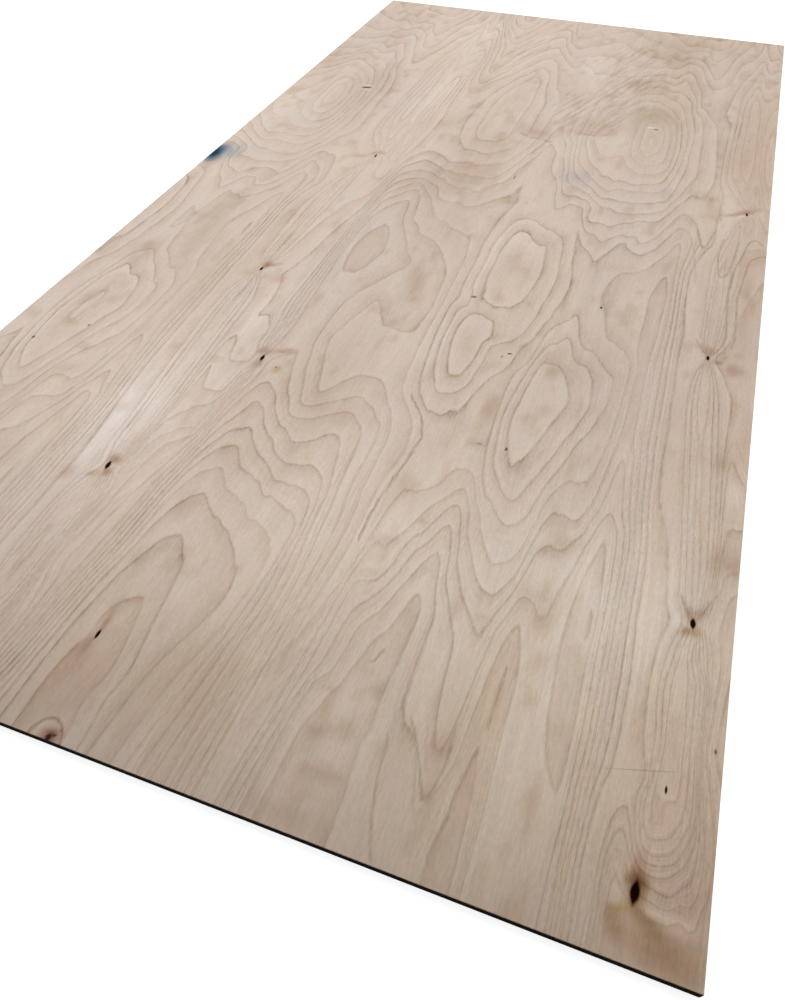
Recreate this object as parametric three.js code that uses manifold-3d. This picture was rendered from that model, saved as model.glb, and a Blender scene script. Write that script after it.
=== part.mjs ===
// A sheet of birch plywood with open knots in its face.
//
// Millimetres, +Z up. The origin is the middle of the underside, X runs across the sheet, and
// Y runs along it, with the face grain. The near end is at -Y and the right edge is at +X.

import * as THREE from 'three';
import { mergeVertices } from 'three/addons/utils/BufferGeometryUtils.js';
import Module from 'manifold-3d';

// The sheet, as it is sold and as it is pressed.
const sheetWidth = 1220;
const sheetLength = 2440;
const sheetThickness = 15;
const plyCount = 11;
const arrisEase = 0.5;

// One turn of the peeled log: the face veneer shows each branch again this far across.
const peelTurn = 813;

// A knot that has dropped out leaves a pointed hollow along the grain, as deep as the face veneer.
const arcSteps = 14;
const floorShare = 0.55;
const cutterRise = 2;

// Where each branch came through the veneer: in from the right edge, and up from the near end.
const cornerBranch = { inFromRight: 69, upFromNear: 61 };
const twigBranch = { inFromRight: 53.5, upFromNear: 166.5 };
const lowBranch = { inFromRight: 48, upFromNear: 375 };
const middleBranch = { inFromRight: 77.5, upFromNear: 894 };
const highBranch = { inFromRight: 45, upFromNear: 1395 };
const innerLowBranch = { inFromRight: 710, upFromNear: 127 };
const innerHighBranch = { inFromRight: 766, upFromNear: 651 };

// The open knots: the branch, how many turns of the log to the left, and the hollow's own size.
// Drift is how far the hollow lies from the branch's first place, across and along, because
// the branch leans as the knife goes deeper. Lean turns the hollow from the grain, in degrees.
const openKnots = [
  { branch: cornerBranch, turns: 0, drift: [0, 0], width: 8.6, length: 22.5, lean: -3 },
  { branch: twigBranch, turns: 0, drift: [0, 0], width: 2.2, length: 8, lean: 2 },
  { branch: lowBranch, turns: 0, drift: [0, 0], width: 6.2, length: 15, lean: 4 },
  { branch: lowBranch, turns: 1, drift: [0, -12], width: 6, length: 16, lean: 5 },
  { branch: middleBranch, turns: 0, drift: [0, 0], width: 4.6, length: 12, lean: 0 },
  { branch: middleBranch, turns: 1, drift: [1, -9], width: 4.4, length: 12.5, lean: 1 },
  { branch: highBranch, turns: 0, drift: [0, 0], width: 4.4, length: 12, lean: 2 },
  { branch: highBranch, turns: 1, drift: [-2, -10], width: 3.6, length: 16, lean: 3 },
  { branch: innerLowBranch, turns: 0, drift: [0, 0], width: 3.6, length: 13, lean: 0 },
  { branch: innerHighBranch, turns: 0, drift: [0, 0], width: 5.4, length: 16, lean: 2 },
];

const birchFace = { color: 0xd2bda8, roughness: 0.62, metalness: 0 };

const wasm = await Module();
wasm.setup();

// A solid for joining and cutting, from a closed geometry.
function toSolid(geometry) {
  const bare = geometry.clone();
  bare.deleteAttribute('normal');
  bare.deleteAttribute('uv');
  const merged = mergeVertices(bare);
  const vertProperties = new Float32Array(merged.attributes.position.array);
  const triVerts = new Uint32Array(merged.index.array);
  return new wasm.Manifold(new wasm.Mesh({ numProp: 3, vertProperties, triVerts }));
}

// A geometry for the scene, from a solid.
function toGeometry(solid) {
  const mesh = solid.getMesh();
  const geometry = new THREE.BufferGeometry();
  geometry.setAttribute('position', new THREE.BufferAttribute(mesh.vertProperties, 3));
  geometry.setIndex(new THREE.BufferAttribute(mesh.triVerts, 1));
  geometry.computeVertexNormals();
  return geometry;
}

// A rectangle centred on the origin.
function rectangle(width, length) {
  const shape = new THREE.Shape();
  shape.moveTo(-width / 2, -length / 2);
  shape.lineTo(width / 2, -length / 2);
  shape.lineTo(width / 2, length / 2);
  shape.lineTo(-width / 2, length / 2);
  shape.closePath();
  return shape;
}

// The sawn board, with its upper and lower arrises eased.
function board() {
  const outline = rectangle(sheetWidth - 2 * arrisEase, sheetLength - 2 * arrisEase);
  const geometry = new THREE.ExtrudeGeometry(outline, {
    depth: sheetThickness - 2 * arrisEase,
    bevelEnabled: true,
    bevelSize: arrisEase,
    bevelThickness: arrisEase,
    bevelSegments: 1,
  });
  geometry.translate(0, 0, arrisEase);
  return geometry;
}

// The outline of a dropped knot: two arcs that meet in a point at each end of the grain.
function lensOutline(width, length) {
  const halfWidth = width / 2;
  const halfLength = length / 2;
  const radius = (halfWidth ** 2 + halfLength ** 2) / (2 * halfWidth);
  const reach = Math.asin(halfLength / radius);
  const shape = new THREE.Shape();
  shape.absarc(halfWidth - radius, 0, radius, -reach, reach, false);
  shape.absarc(radius - halfWidth, 0, radius, Math.PI - reach, Math.PI + reach, false);
  return shape;
}

// The cutter for one open knot: a lens at the face that narrows towards the next ply down.
function knotCutter(knot, depth) {
  const outline = lensOutline(knot.width, knot.length);
  const geometry = new THREE.ExtrudeGeometry(outline, {
    depth: depth + cutterRise,
    bevelEnabled: false,
    curveSegments: arcSteps,
  });
  geometry.translate(0, 0, -depth);
  const points = geometry.attributes.position;
  const narrowing = (1 - floorShare) / depth;
  for (let i = 0; i < points.count; i += 1) {
    const share = 1 + narrowing * points.getZ(i);
    points.setX(i, points.getX(i) * share);
    points.setY(i, points.getY(i) * share);
  }
  geometry.rotateZ(THREE.MathUtils.degToRad(knot.lean));
  return geometry;
}

// Where an open knot lies on the face.
function knotPlace(knot) {
  const [across, along] = knot.drift;
  const x = sheetWidth / 2 - knot.branch.inFromRight - knot.turns * peelTurn + across;
  const y = knot.branch.upFromNear - sheetLength / 2 + along;
  return [x, y, sheetThickness];
}

// The whole sheet: the board less its open knots.
function plywoodSheet() {
  const faceVeneer = sheetThickness / plyCount;
  let solid = toSolid(board());
  for (const knot of openKnots) {
    const cutter = knotCutter(knot, faceVeneer);
    cutter.translate(...knotPlace(knot));
    solid = solid.subtract(toSolid(cutter));
  }
  const sheet = new THREE.Mesh(toGeometry(solid), new THREE.MeshStandardMaterial(birchFace));
  sheet.name = 'plywood_sheet';
  return sheet;
}

const part = new THREE.Group();
part.add(plywoodSheet());

export default part;
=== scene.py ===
import bpy
import math
import mathutils
import numpy as np
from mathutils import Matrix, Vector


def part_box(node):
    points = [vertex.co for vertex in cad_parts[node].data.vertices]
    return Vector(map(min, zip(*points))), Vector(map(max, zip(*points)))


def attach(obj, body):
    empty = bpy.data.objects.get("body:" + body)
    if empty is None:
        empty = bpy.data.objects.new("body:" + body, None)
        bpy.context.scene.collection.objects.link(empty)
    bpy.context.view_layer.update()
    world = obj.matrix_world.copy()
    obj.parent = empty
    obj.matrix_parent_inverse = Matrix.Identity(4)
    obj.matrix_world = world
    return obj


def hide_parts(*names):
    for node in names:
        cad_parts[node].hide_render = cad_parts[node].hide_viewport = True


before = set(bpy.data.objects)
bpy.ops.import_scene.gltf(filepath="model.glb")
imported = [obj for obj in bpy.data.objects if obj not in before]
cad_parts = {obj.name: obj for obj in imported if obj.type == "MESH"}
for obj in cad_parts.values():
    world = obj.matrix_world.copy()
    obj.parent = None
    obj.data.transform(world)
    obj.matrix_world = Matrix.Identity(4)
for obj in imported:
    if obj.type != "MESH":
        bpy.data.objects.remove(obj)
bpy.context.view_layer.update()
lowCorner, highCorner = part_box("plywood_sheet")
print("loaded the CAD frame")

# The sheet. Lengths are millimetres, with across as X and along as Y, from the sheet's middle. Leans are in
# degrees and colours are sRGB hex.
sheet = {
    "width": (highCorner.x - lowCorner.x) * 1000,
    "length": (highCorner.y - lowCorner.y) * 1000,
    "thickness": (highCorner.z - lowCorner.z) * 1000,
    "arris": 0.5,
    "plyCount": 11,
    "peelTurn": 813,          # once round the log, so the figure comes again this far across
    "ringsPerTurn": 0.5,      # years of growth lost from the log in one turn
    "driftPerTurn": 10,       # along, from one turn to the next
    "cellsAcross": 264,       # of the face mesh
    "cellsAlong": 300,
    "backCellsEach": (4, 5),  # how many face cells lie over a cell of the back, a divisor of each count
    "knotBlock": (6, 8),      # how many face cells make way for an open knot
    "flattest": 0.014,        # years of growth per mm, at least and at most
    "steepest": 0.5,
    "pale": "#e9d5c4",        # open early wood
    "late": "#b0957c",        # the dense wood that closes each year's growth
    "lineStrength": 0.72,
    "roughness": 0.55,
    "sheen": 0.28,
    "relief": 0.12,           # strength of the fibres' bump
    # The edges' two colours are painted shade, near black.
    "edgeShadeDark": "#060302",
    "edgeShadeLight": "#1a100a",
    "glue": "#0c0705",
    "edgeRoughness": 0.9,
    "endGrain": (0.2, 0.4),   # how light the edge's plies are, and how much more every other one
    "sawMarks": 1000 / 420,   # apart, on the edges
}

# The figure of the face. A fold is a ridge or a valley of the growth rings, followed along the sheet:
# (along, across, years of growth crossed there). Between the folds the growth rises or falls smoothly,
# and each whole number of years is one ring line on the face.
folds = {
    "leftBank": [
        (-1220, -213, 11), (-1160, -215, 11.5), (-1145, -216, 12.2), (-1102, -218, 12.8),
        (-1050, -222, 12.4), (-1000, -224, 11.7), (-950, -222, 11.8), (-900, -222, 12), (-860, -226, 11.8),
        (-820, -227, 12.4), (-760, -227, 12.95), (-745, -226, 13.15), (-720, -226, 13.4),
        (-690, -227, 13.6), (-640, -227, 13.75), (-595, -227, 14), (-555, -227, 14.45), (-510, -226, 15),
        (-480, -222, 15.05), (-440, -208, 14.8), (-350, -197, 14.46), (-200, -192, 14.4), (0, -198, 16),
        (100, -203, 17.4), (400, -212, 20), (600, -212, 19.4), (800, -200, 17.8), (1000, -208, 15.5),
        (1220, -222, 13.5),
    ],
    "leftShelf": [
        (-1220, -197, 9.6), (-1100, -200, 10.6), (-1050, -203, 10.4), (-1000, -204, 9.9), (-965, -203, 10),
        (-930, -204, 10.3), (-860, -205, 10.8), (-815, -205, 11), (-785, -204, 11.5), (-770, -203, 12),
        (-738, -202, 12.6), (-707, -202, 13), (-657, -201, 14), (-600, -201, 14.6), (-578, -201, 15),
        (-540, -203, 15.25), (-480, -206, 15.2), (-440, -198, 14.7), (-350, -187, 14.1),
        (-200, -184, 13.85), (0, -190, 15.5), (100, -195, 17), (400, -204, 19.5), (600, -204, 19.05),
        (800, -192, 17.35), (1000, -200, 15.15), (1220, -214, 12.95),
    ],
    "leftStep": [
        (-1220, -176, 5.6), (-1100, -180, 8), (-1050, -182, 8.5), (-1000, -183, 8.95), (-950, -181, 9.1),
        (-900, -180, 9.5), (-860, -182, 9.97), (-820, -178, 10.3), (-780, -176, 10.7), (-770, -175, 11),
        (-749, -179, 12), (-690, -182, 13), (-656, -181, 14), (-610, -184, 14.55), (-572, -185, 15),
        (-500, -187, 15.1), (-440, -186, 14.2), (-350, -177, 12.9), (-200, -176, 12.5), (0, -182, 14.3),
        (100, -187, 16), (400, -196, 18.5), (600, -196, 18.2), (800, -184, 16.3), (1000, -192, 14.3),
        (1220, -206, 11.75),
    ],
    "leftFoot": [
        (-1220, -143, 2), (-1120, -141, 2), (-1030, -134, 2), (-960, -127, 2.4), (-860, -133, 3.8),
        (-700, -142, 7.4), (-531, -148, 9.8), (-450, -143, 9.7), (-210, -152, 9), (-50, -156, 10.2),
        (97, -165, 13.7), (247, -172, 16.7), (400, -182, 17.2), (553, -176, 16.6), (700, -168, 15.2),
        (900, -160, 13.5), (1220, -190, 10),
    ],
    "basin": [
        (-1220, -90, 0.2), (-1165, -92, 0.15), (-1120, -84, 0.15), (-1080, -87, 0.3), (-1060, -86, 0.55),
        (-1032, -80, 1), (-1000, -84, 1.4), (-955, -87, 1.75), (-922, -88, 2), (-850, -97, 3),
        (-797, -102, 4), (-750, -105, 5), (-710, -101, 6), (-651, -114, 7), (-608, -117, 8),
        (-531, -110, 9), (-430, -112, 9.4), (-322, -117, 9), (-210, -115, 8.5), (-92, -115, 9),
        (0, -107, 10), (45, -105, 11), (74, -120, 12), (97, -132, 13), (138, -130, 14), (194, -135, 15),
        (246, -138, 16), (400, -145, 16.6), (553, -148, 16), (645, -145, 15), (726, -140, 14),
        (842, -145, 13), (945, -140, 12), (1001, -140, 11), (1080, -140, 10), (1220, -140, 8.5),
    ],
    "basinSide": [
        (-1220, -34, 2), (-1165, -38, 2), (-1120, -33, 2), (-1040, -42, 2), (-980, -50, 2),
        (-938, -60, 2.15), (-900, -55, 2.75), (-830, -60, 4.2), (-740, -62, 6.4), (-663, -68, 8.4),
        (-600, -64, 9.8), (-545, -66, 10.5), (-480, -72, 10.95), (-380, -72, 10.4), (-275, -78, 9.4),
        (-210, -80, 9), (-120, -70, 9.9), (-60, -75, 10.9), (0, -82, 11), (60, -80, 12.4), (130, -78, 14.3),
        (220, -80, 16.2), (400, -90, 17.3), (560, -95, 17), (760, -90, 15.2), (950, -80, 13.8),
        (1220, -90, 10.4),
    ],
    "basinRidge": [
        (-1220, -25, 2.75), (-1150, -22, 2.75), (-1100, -14, 2.75), (-1040, 0, 2.75), (-1000, 4, 2.7),
        (-950, -4, 2.8), (-914, -15, 3), (-892, -18, 3.45), (-870, -20, 3.9), (-826, -20, 4.9),
        (-797, -12, 6), (-757, -38, 7), (-722, -22, 8), (-672, -44, 9), (-640, -40, 10), (-597, -30, 11),
        (-470, -30, 11.4), (-368, -32, 11), (-277, -38, 10), (-215, -40, 9.7), (-165, -45, 10),
        (-110, -38, 11), (-60, -10, 12), (-10, -5, 12.6), (20, -20, 13), (42, -30, 13.4), (90, -22, 14),
        (120, -20, 14.6), (150, -10, 15), (228, -35, 16.4), (300, -45, 17.6), (400, -45, 18.7),
        (600, -30, 18.7), (720, -12, 18), (789, -8, 17), (870, -5, 16), (960, -5, 15), (1050, -5, 14),
        (1220, -5, 12.2),
    ],
    "rightFoot": [
        (-1220, -3, 3.5), (-1150, 3, 3.5), (-1100, 11, 3.5), (-1040, 27, 3.5), (-1000, 31, 3.4),
        (-950, 38, 3.75), (-872, 46, 4.9), (-800, 45, 6.6), (-760, 36, 7.3), (-701, 26, 8), (-650, 25, 9),
        (-613, 32, 10), (-553, 20, 11), (-500, 25, 11.25), (-445, 26, 11), (-400, 22, 10.6), (-342, 20, 10),
        (-300, 26, 10.1), (-240, 32, 10.5), (-172, 30, 11), (-75, 42, 12), (0, 45, 12.5), (40, 36, 12.9),
        (90, 25, 13.8), (110, 22, 14), (150, 28, 14.8), (230, 40, 15.6), (400, 60, 16.6), (550, 60, 16.6),
        (700, 60, 15.7), (870, 45, 15), (936, 35, 14), (1001, 30, 13), (1100, 30, 11.6), (1220, 30, 10.4),
    ],
    "riseFoot": [
        (-1220, 44, 6.2), (-1100, 52, 6.1), (-1000, 61, 6.2), (-850, 72, 8.2), (-750, 76, 9.05),
        (-700, 78, 9.25), (-650, 80, 9.75), (-630, 72, 10.1), (-553, 52, 11.05), (-480, 56, 11.2),
        (-420, 56, 10.95), (-340, 60, 10.85), (-250, 54, 10.95), (-180, 50, 11.3), (-75, 56, 12.1),
        (0, 68, 12.5), (60, 74, 12.8), (98, 73, 13), (170, 72, 13.6), (250, 85, 13.8), (400, 100, 15),
        (600, 90, 15.8), (800, 75, 15.2), (1000, 60, 12.8), (1220, 60, 10.8),
    ],
    "rise": [
        (-1220, 86, 9), (-1000, 98, 9.6), (-850, 108, 10.4), (-750, 112, 11.1), (-700, 112, 11.1),
        (-640, 104, 11.05), (-550, 84, 11.9), (-445, 78, 12), (-300, 76, 12), (-180, 72, 12),
        (-100, 80, 12.6), (0, 96, 12.95), (40, 100, 12.9), (100, 98, 12.9), (200, 98, 13.1),
        (300, 105, 13.4), (400, 118, 14.4), (600, 110, 15.8), (800, 94, 15.6), (1000, 84, 13.2),
        (1220, 86, 11.2),
    ],
    "midRidge": [
        (-1220, 116, 11.5), (-1100, 119, 11.8), (-1000, 124, 11.9), (-850, 142, 12.3), (-760, 140, 12.1),
        (-700, 145, 12.05), (-640, 152, 12.4), (-598, 158, 13), (-547, 152, 14), (-498, 152, 15),
        (-420, 146, 15.6), (-338, 142, 15), (-316, 150, 14.5), (-297, 162, 15), (-180, 160, 15.8),
        (-52, 148, 15), (2, 150, 14), (60, 146, 13), (79, 124, 13), (100, 124, 13.2), (140, 135, 13.3),
        (200, 132, 13.6), (300, 135, 13.8), (370, 140, 14.6), (430, 146, 16), (600, 148, 15.9),
        (760, 142, 15.2), (900, 132, 14.4), (1050, 130, 13), (1220, 130, 11.4),
    ],
    "spur": [
        (-1220, 143, 9), (-1100, 149, 9.5), (-1050, 151, 9.8), (-955, 155, 9.85), (-930, 155, 10),
        (-880, 155, 10.75), (-858, 156, 11), (-800, 158, 11.75), (-757, 162, 12.02), (-720, 166, 12.25),
        (-640, 172, 12.75), (-577, 173, 13), (-500, 168, 14.6), (-420, 163, 15.3), (-345, 166, 15),
        (-318, 172, 14.5), (-292, 182, 15), (-180, 186, 15.7), (-90, 180, 15.1), (-15, 180, 14),
        (40, 178, 13), (60, 180, 13.1), (136, 162, 13.1), (180, 163, 13.9), (240, 164, 14.6),
        (300, 160, 15.2), (370, 160, 15.8), (430, 170, 17.2), (600, 180, 17.2), (760, 172, 15.6),
        (900, 162, 14.3), (1050, 160, 13.2), (1220, 160, 11.7),
    ],
    "midSpur": [
        (-1220, 160, 7.35), (-1130, 163, 7.4), (-1080, 168, 7.6), (-1050, 178, 7.9), (-966, 170, 9),
        (-944, 169, 9.55), (-924, 170, 10), (-908, 172, 10.35), (-882, 172, 10.85), (-866, 171, 11),
        (-835, 175, 11.25), (-800, 178, 11.6), (-765, 180, 11.85), (-757, 181, 12), (-735, 186, 12.15),
        (-640, 198, 12.7), (-548, 188, 13), (-500, 184, 13.75), (-450, 190, 13.75), (-408, 190, 13.8),
        (-380, 200, 14.5), (-330, 203, 14.45), (-285, 202, 14.8), (-262, 203, 15), (-180, 208, 15.1),
        (-95, 200, 15), (-28, 200, 14), (17, 195, 13), (36, 192, 12.95), (50, 192, 13.2), (73, 192, 14),
        (110, 192, 14.5), (150, 192, 15.1), (200, 188, 15.9), (250, 192, 16.9), (300, 194, 17.9),
        (370, 196, 18.9), (430, 204, 20), (520, 208, 19.3), (600, 212, 18.2), (680, 210, 16.9),
        (760, 206, 15.7), (900, 196, 14), (1100, 192, 12.6), (1220, 192, 11.7),
    ],
    "midSide": [
        (-1220, 180, 6.65), (-1130, 186, 6.65), (-1085, 194, 6.7), (-1050, 204, 6.7), (-1000, 211, 6.8),
        (-960, 209, 7.5), (-925, 208, 8), (-880, 208, 8.75), (-857, 209, 9), (-825, 208, 10),
        (-772, 208, 11), (-742, 207, 11.75), (-704, 210, 12), (-640, 216, 12.6), (-560, 204, 12.75),
        (-500, 198, 13), (-470, 206, 13.45), (-405, 212, 13.6), (-378, 218, 14.3), (-330, 222, 14.4),
        (-270, 224, 14.5), (-180, 226, 14.6), (-95, 222, 14.5), (-40, 222, 14), (17, 214, 13),
        (36, 212, 12.95), (52, 214, 13.1), (97, 216, 14), (150, 220, 15.3), (200, 224, 16.8),
        (250, 228, 18.1), (300, 232, 19.2), (360, 232, 19.97), (400, 230, 20.3), (430, 228, 20.4),
        (520, 234, 19.9), (600, 242, 18.9), (680, 240, 17.3), (760, 236, 15.9), (850, 228, 14.6),
        (920, 225, 13.8), (1100, 222, 12.3), (1220, 222, 11.5),
    ],
    "midValley": [
        (-1220, 215, 6.35), (-1100, 220, 6.45), (-1000, 232, 6.5), (-940, 237, 6.7), (-904, 238, 7),
        (-841, 240, 8), (-791, 240, 9), (-752, 240, 10), (-722, 240, 11), (-688, 240, 12),
        (-638, 236, 12.4), (-560, 236, 12.6), (-500, 236, 12.75), (-470, 240, 12.75), (-440, 254, 12.6),
        (-400, 259, 12.6), (-340, 266, 12.72), (-300, 280, 12.66), (-180, 284, 12.62), (-98, 274, 12.75),
        (-40, 260, 12.85), (0, 254, 12.95), (50, 240, 13.3), (97, 238, 14), (150, 244, 15.9),
        (200, 252, 17.7), (250, 258, 19), (300, 258, 19.45), (353, 254, 20), (430, 258, 20.5),
        (520, 264, 20.4), (600, 268, 19.8), (640, 268, 19.1), (700, 266, 17.9), (760, 264, 16.4),
        (800, 262, 15.5), (860, 260, 14.6), (930, 260, 13.6), (1010, 262, 12.8), (1100, 265, 12),
        (1220, 268, 11.2),
    ],
    "eyeLeft": [
        (-1220, 282, 7.45), (-1090, 281, 7.8), (-1050, 276, 8.02), (-941, 273, 8.15), (-884, 272, 9.3),
        (-840, 274, 10.35), (-800, 272, 11.1), (-760, 275, 12.05), (-724, 272, 13), (-700, 266, 13.2),
        (-650, 264, 14), (-560, 256, 14.15), (-460, 263, 13.9), (-390, 276, 13.7), (-320, 286, 12.9),
        (-200, 294, 12.3), (-98, 290, 12.8), (-20, 276, 13.6), (28, 266, 14.6), (60, 268, 15.3),
        (110, 282, 16), (150, 278, 17), (185, 276, 18), (238, 276, 19), (300, 280, 19.45), (362, 279, 20),
        (430, 284, 20.7), (520, 288, 20.8), (600, 289, 20.3), (620, 288, 20), (672, 287, 19),
        (715, 286, 18), (765, 286, 17), (808, 286, 16), (850, 287, 15), (905, 288, 14), (985, 288, 13),
        (1050, 290, 12.25), (1110, 292, 11.6), (1220, 295, 10.8),
    ],
    "streak": [
        (-1220, 300, 7.5), (-1115, 300, 7.72), (-1090, 298, 8), (-1050, 298, 8.5), (-975, 298, 8.75),
        (-941, 296, 9.15), (-884, 291, 10.3), (-840, 291, 11.2), (-800, 289, 12.05), (-760, 291, 12.8),
        (-724, 288, 13.7), (-700, 283, 14.05), (-650, 279, 14.85), (-560, 274, 15.2), (-460, 280, 15.05),
        (-390, 290, 14.1), (-360, 293, 13.5), (-320, 295, 12.95), (-200, 301, 12.35), (-98, 296, 12.9),
        (-20, 288, 13.8), (28, 283, 14.8), (60, 292, 15.3), (110, 302, 16.1), (150, 300, 17),
        (200, 299, 18), (238, 302, 19), (270, 306, 19.4), (307, 308, 20), (362, 306, 21), (430, 308, 21.6),
        (520, 306, 21.6), (592, 306, 21), (620, 308, 20), (674, 310, 19), (728, 311, 18), (773, 312, 17),
        (820, 314, 16), (870, 314, 15), (932, 312, 14), (1015, 310, 13), (1078, 310, 12), (1135, 312, 11.2),
        (1220, 316, 10.6),
    ],
    "eyeRidge": [
        (-1220, 330, 7.6), (-1145, 325, 8), (-1090, 323, 9), (-1020, 322, 9.45), (-941, 322, 10),
        (-884, 321, 11), (-836, 312, 12), (-767, 310, 13), (-727, 302, 14), (-667, 290, 15),
        (-560, 296, 15.45), (-500, 300, 15.45), (-437, 300, 15), (-424, 300, 14.5), (-362, 305, 14),
        (-347, 305, 13.5), (-302, 305, 13), (-200, 308, 12.4), (-98, 302, 13), (-28, 300, 14),
        (34, 298, 15), (50, 316, 15.3), (92, 320, 16), (147, 322, 17), (203, 322, 18), (236, 330, 19),
        (262, 338, 19.4), (287, 344, 20), (331, 340, 21), (383, 335, 22), (440, 332, 23), (500, 328, 22.8),
        (545, 325, 22), (585, 326, 21), (617, 330, 20), (652, 336, 19), (703, 340, 18), (750, 340, 17),
        (800, 342, 16), (850, 342, 15), (925, 340, 14), (985, 341, 13), (1045, 344, 12), (1110, 348, 11),
        (1220, 350, 10.2),
    ],
    "eyeRight": [
        (-1220, 345, 7), (-1145, 342, 7.55), (-1090, 341, 8.1), (-1000, 343, 8.25), (-941, 343, 8.65),
        (-884, 342, 10.05), (-835, 338, 11.5), (-766, 336, 12.5), (-700, 333, 13.3), (-640, 336, 13.9),
        (-560, 341, 14.45), (-500, 340, 14.85), (-455, 336, 14.7), (-400, 335, 13.8), (-330, 330, 12.5),
        (-260, 326, 12.2), (-200, 324, 12.08), (-140, 326, 12.15), (-100, 328, 12.3), (-67, 333, 12.5),
        (-30, 344, 12.8), (-12, 350, 13), (8, 350, 14), (25, 353, 14.15), (55, 365, 14.5), (73, 372, 15),
        (107, 372, 16), (158, 374, 17), (207, 375, 18), (248, 376, 19), (309, 377, 20), (365, 374, 20.85),
        (430, 373, 20.95), (500, 372, 20.7), (573, 370, 20), (612, 368, 19), (680, 369, 18), (745, 370, 17),
        (832, 370, 16), (892, 370, 15), (970, 370, 14), (1018, 371, 13), (1085, 374, 12), (1128, 376, 11),
        (1168, 378, 10.3), (1220, 380, 9.8),
    ],
    "eyeValley": [
        (-1220, 365, 6.4), (-1050, 364, 7.2), (-916, 365, 8), (-880, 360, 9), (-800, 361, 10),
        (-728, 366, 11), (-664, 371, 12), (-600, 374, 12.65), (-545, 384, 13), (-500, 393, 13),
        (-450, 393, 12.98), (-400, 382, 12.55), (-345, 372, 12.05), (-325, 362, 11.9), (-260, 362, 11.75),
        (-180, 362, 11.7), (-130, 362, 11.8), (-113, 362, 12), (-102, 364, 12.2), (-48, 378, 13),
        (-10, 376, 14), (20, 388, 14.3), (86, 394, 15), (133, 397, 16), (181, 398, 17), (225, 399, 17.5),
        (268, 398, 18), (330, 399, 18.6), (430, 403, 18.75), (520, 402, 18.4), (600, 397, 17.85),
        (650, 397, 17.35), (710, 397, 16.93), (765, 398, 16), (840, 398, 15), (945, 400, 14),
        (996, 400, 13), (1088, 400, 12), (1120, 402, 11), (1165, 404, 10.3), (1220, 405, 9.8),
    ],
    "shoulder": [
        (-1220, 402, 8.6), (-1000, 402, 8.5), (-887, 385, 8.98), (-775, 393, 9.98), (-731, 394, 11),
        (-652, 397, 12), (-600, 404, 12.1), (-560, 408, 12.15), (-450, 412, 12.15), (-400, 412, 12.05),
        (-330, 400, 11.5), (-215, 405, 11.2), (-80, 405, 12), (-20, 404, 13), (40, 416, 13.5),
        (88, 421, 14), (157, 422, 15), (203, 424, 16), (250, 424, 16.5), (330, 426, 16.8), (430, 429, 16.6),
        (520, 430, 16.55), (600, 424, 16.4), (650, 424, 15.6), (700, 424, 14.85), (800, 424, 14.5),
        (880, 425, 13.6), (928, 426, 13), (1028, 426, 12), (1105, 427, 11), (1150, 428, 10.3),
        (1220, 428, 9.8),
    ],
    "notch": [
        (-1220, 454, 8.4), (-1100, 453, 8.1), (-1040, 446, 7.6), (-1000, 443, 7.4), (-900, 440, 7.4),
        (-735, 441, 8), (-697, 441, 9), (-600, 439, 10), (-540, 436, 10.6), (-400, 434, 10.6),
        (-200, 438, 10.45), (-110, 438, 10.85), (-60, 441, 11.35), (27, 446, 12), (88, 441, 13),
        (180, 448, 14.6), (229, 452, 15), (270, 462, 15.3), (300, 468, 15.4), (360, 472, 15.3),
        (430, 475, 15.1), (520, 474, 14.97), (600, 468, 14.9), (650, 460, 14.75), (700, 452, 14.55),
        (760, 446, 14.3), (810, 444, 14), (880, 443, 13), (1022, 440, 12), (1108, 442, 11),
        (1145, 444, 10.4), (1220, 446, 10),
    ],
    "rightBank": [
        (-1220, 499, 14.5), (-1150, 498, 14.5), (-1090, 500, 14.4), (-1040, 507, 14.25), (-1000, 505, 14),
        (-800, 505, 14.3), (-600, 498, 15), (-300, 490, 15), (-100, 486, 15.2), (0, 494, 14.6),
        (25, 494, 14.2), (60, 498, 14.5), (120, 505, 14.85), (200, 508, 14.88), (260, 504, 14.8),
        (300, 500, 14.75), (360, 498, 14.75), (520, 498, 14.7), (600, 500, 14.75), (700, 508, 15.3),
        (800, 510, 15.2), (900, 510, 14.7), (1050, 510, 13.8), (1220, 510, 12.4),
    ],
    "lensLeft": [
        (-1220, 522, 10.4), (-1175, 521, 10.55), (-1158, 520, 10.7), (-1141, 520, 11), (-1123, 520, 12),
        (-1102, 520, 13), (-1079, 521, 14), (-1063, 526, 14.35), (-1046, 534, 14.7), (-1000, 532, 15.2),
        (-940, 530, 15.2), (-890, 532, 15.15), (-845, 537, 15.05), (-815, 534, 15.1), (-760, 532, 15.2),
        (-560, 516, 15.4), (-420, 508, 15.4), (-370, 514, 15.3), (-340, 524, 15.3), (-326, 528.5, 15.3),
        (-300, 521, 15.4), (-260, 513, 15.4), (-60, 512, 15.6), (60, 528, 15.5), (130, 546, 15.25),
        (175, 560, 15.1), (215, 548, 15.4), (260, 536, 15.9), (300, 530, 16.6), (360, 528, 17.1),
        (430, 528, 17.2), (700, 534, 17.2), (900, 534, 15.4), (1220, 540, 13.2),
    ],
    "cleft": [
        (-1220, 548, 10.5), (-1182, 548, 10.65), (-1169, 549, 11), (-1158, 549, 12), (-1146, 548, 13),
        (-1137, 547, 14), (-1127, 547, 15), (-1118, 547, 16), (-1102, 547, 17), (-1088, 548, 17.9),
        (-1053, 547, 17.9), (-1000, 543, 16.5), (-940, 541, 16.9), (-890, 546, 16.8), (-845, 553, 16.6),
        (-805, 547, 16.6), (-760, 544, 16.6), (-560, 529, 16.8), (-420, 521, 16.9), (-370, 524, 16.9),
        (-326, 530.5, 16.9), (-285, 523, 16.9), (-200, 522, 16.9), (-60, 523, 16.8), (60, 538, 16.6),
        (130, 551, 16), (175, 562, 15.6), (215, 554, 16.2), (260, 549, 16.8), (430, 539, 17.8),
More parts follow.
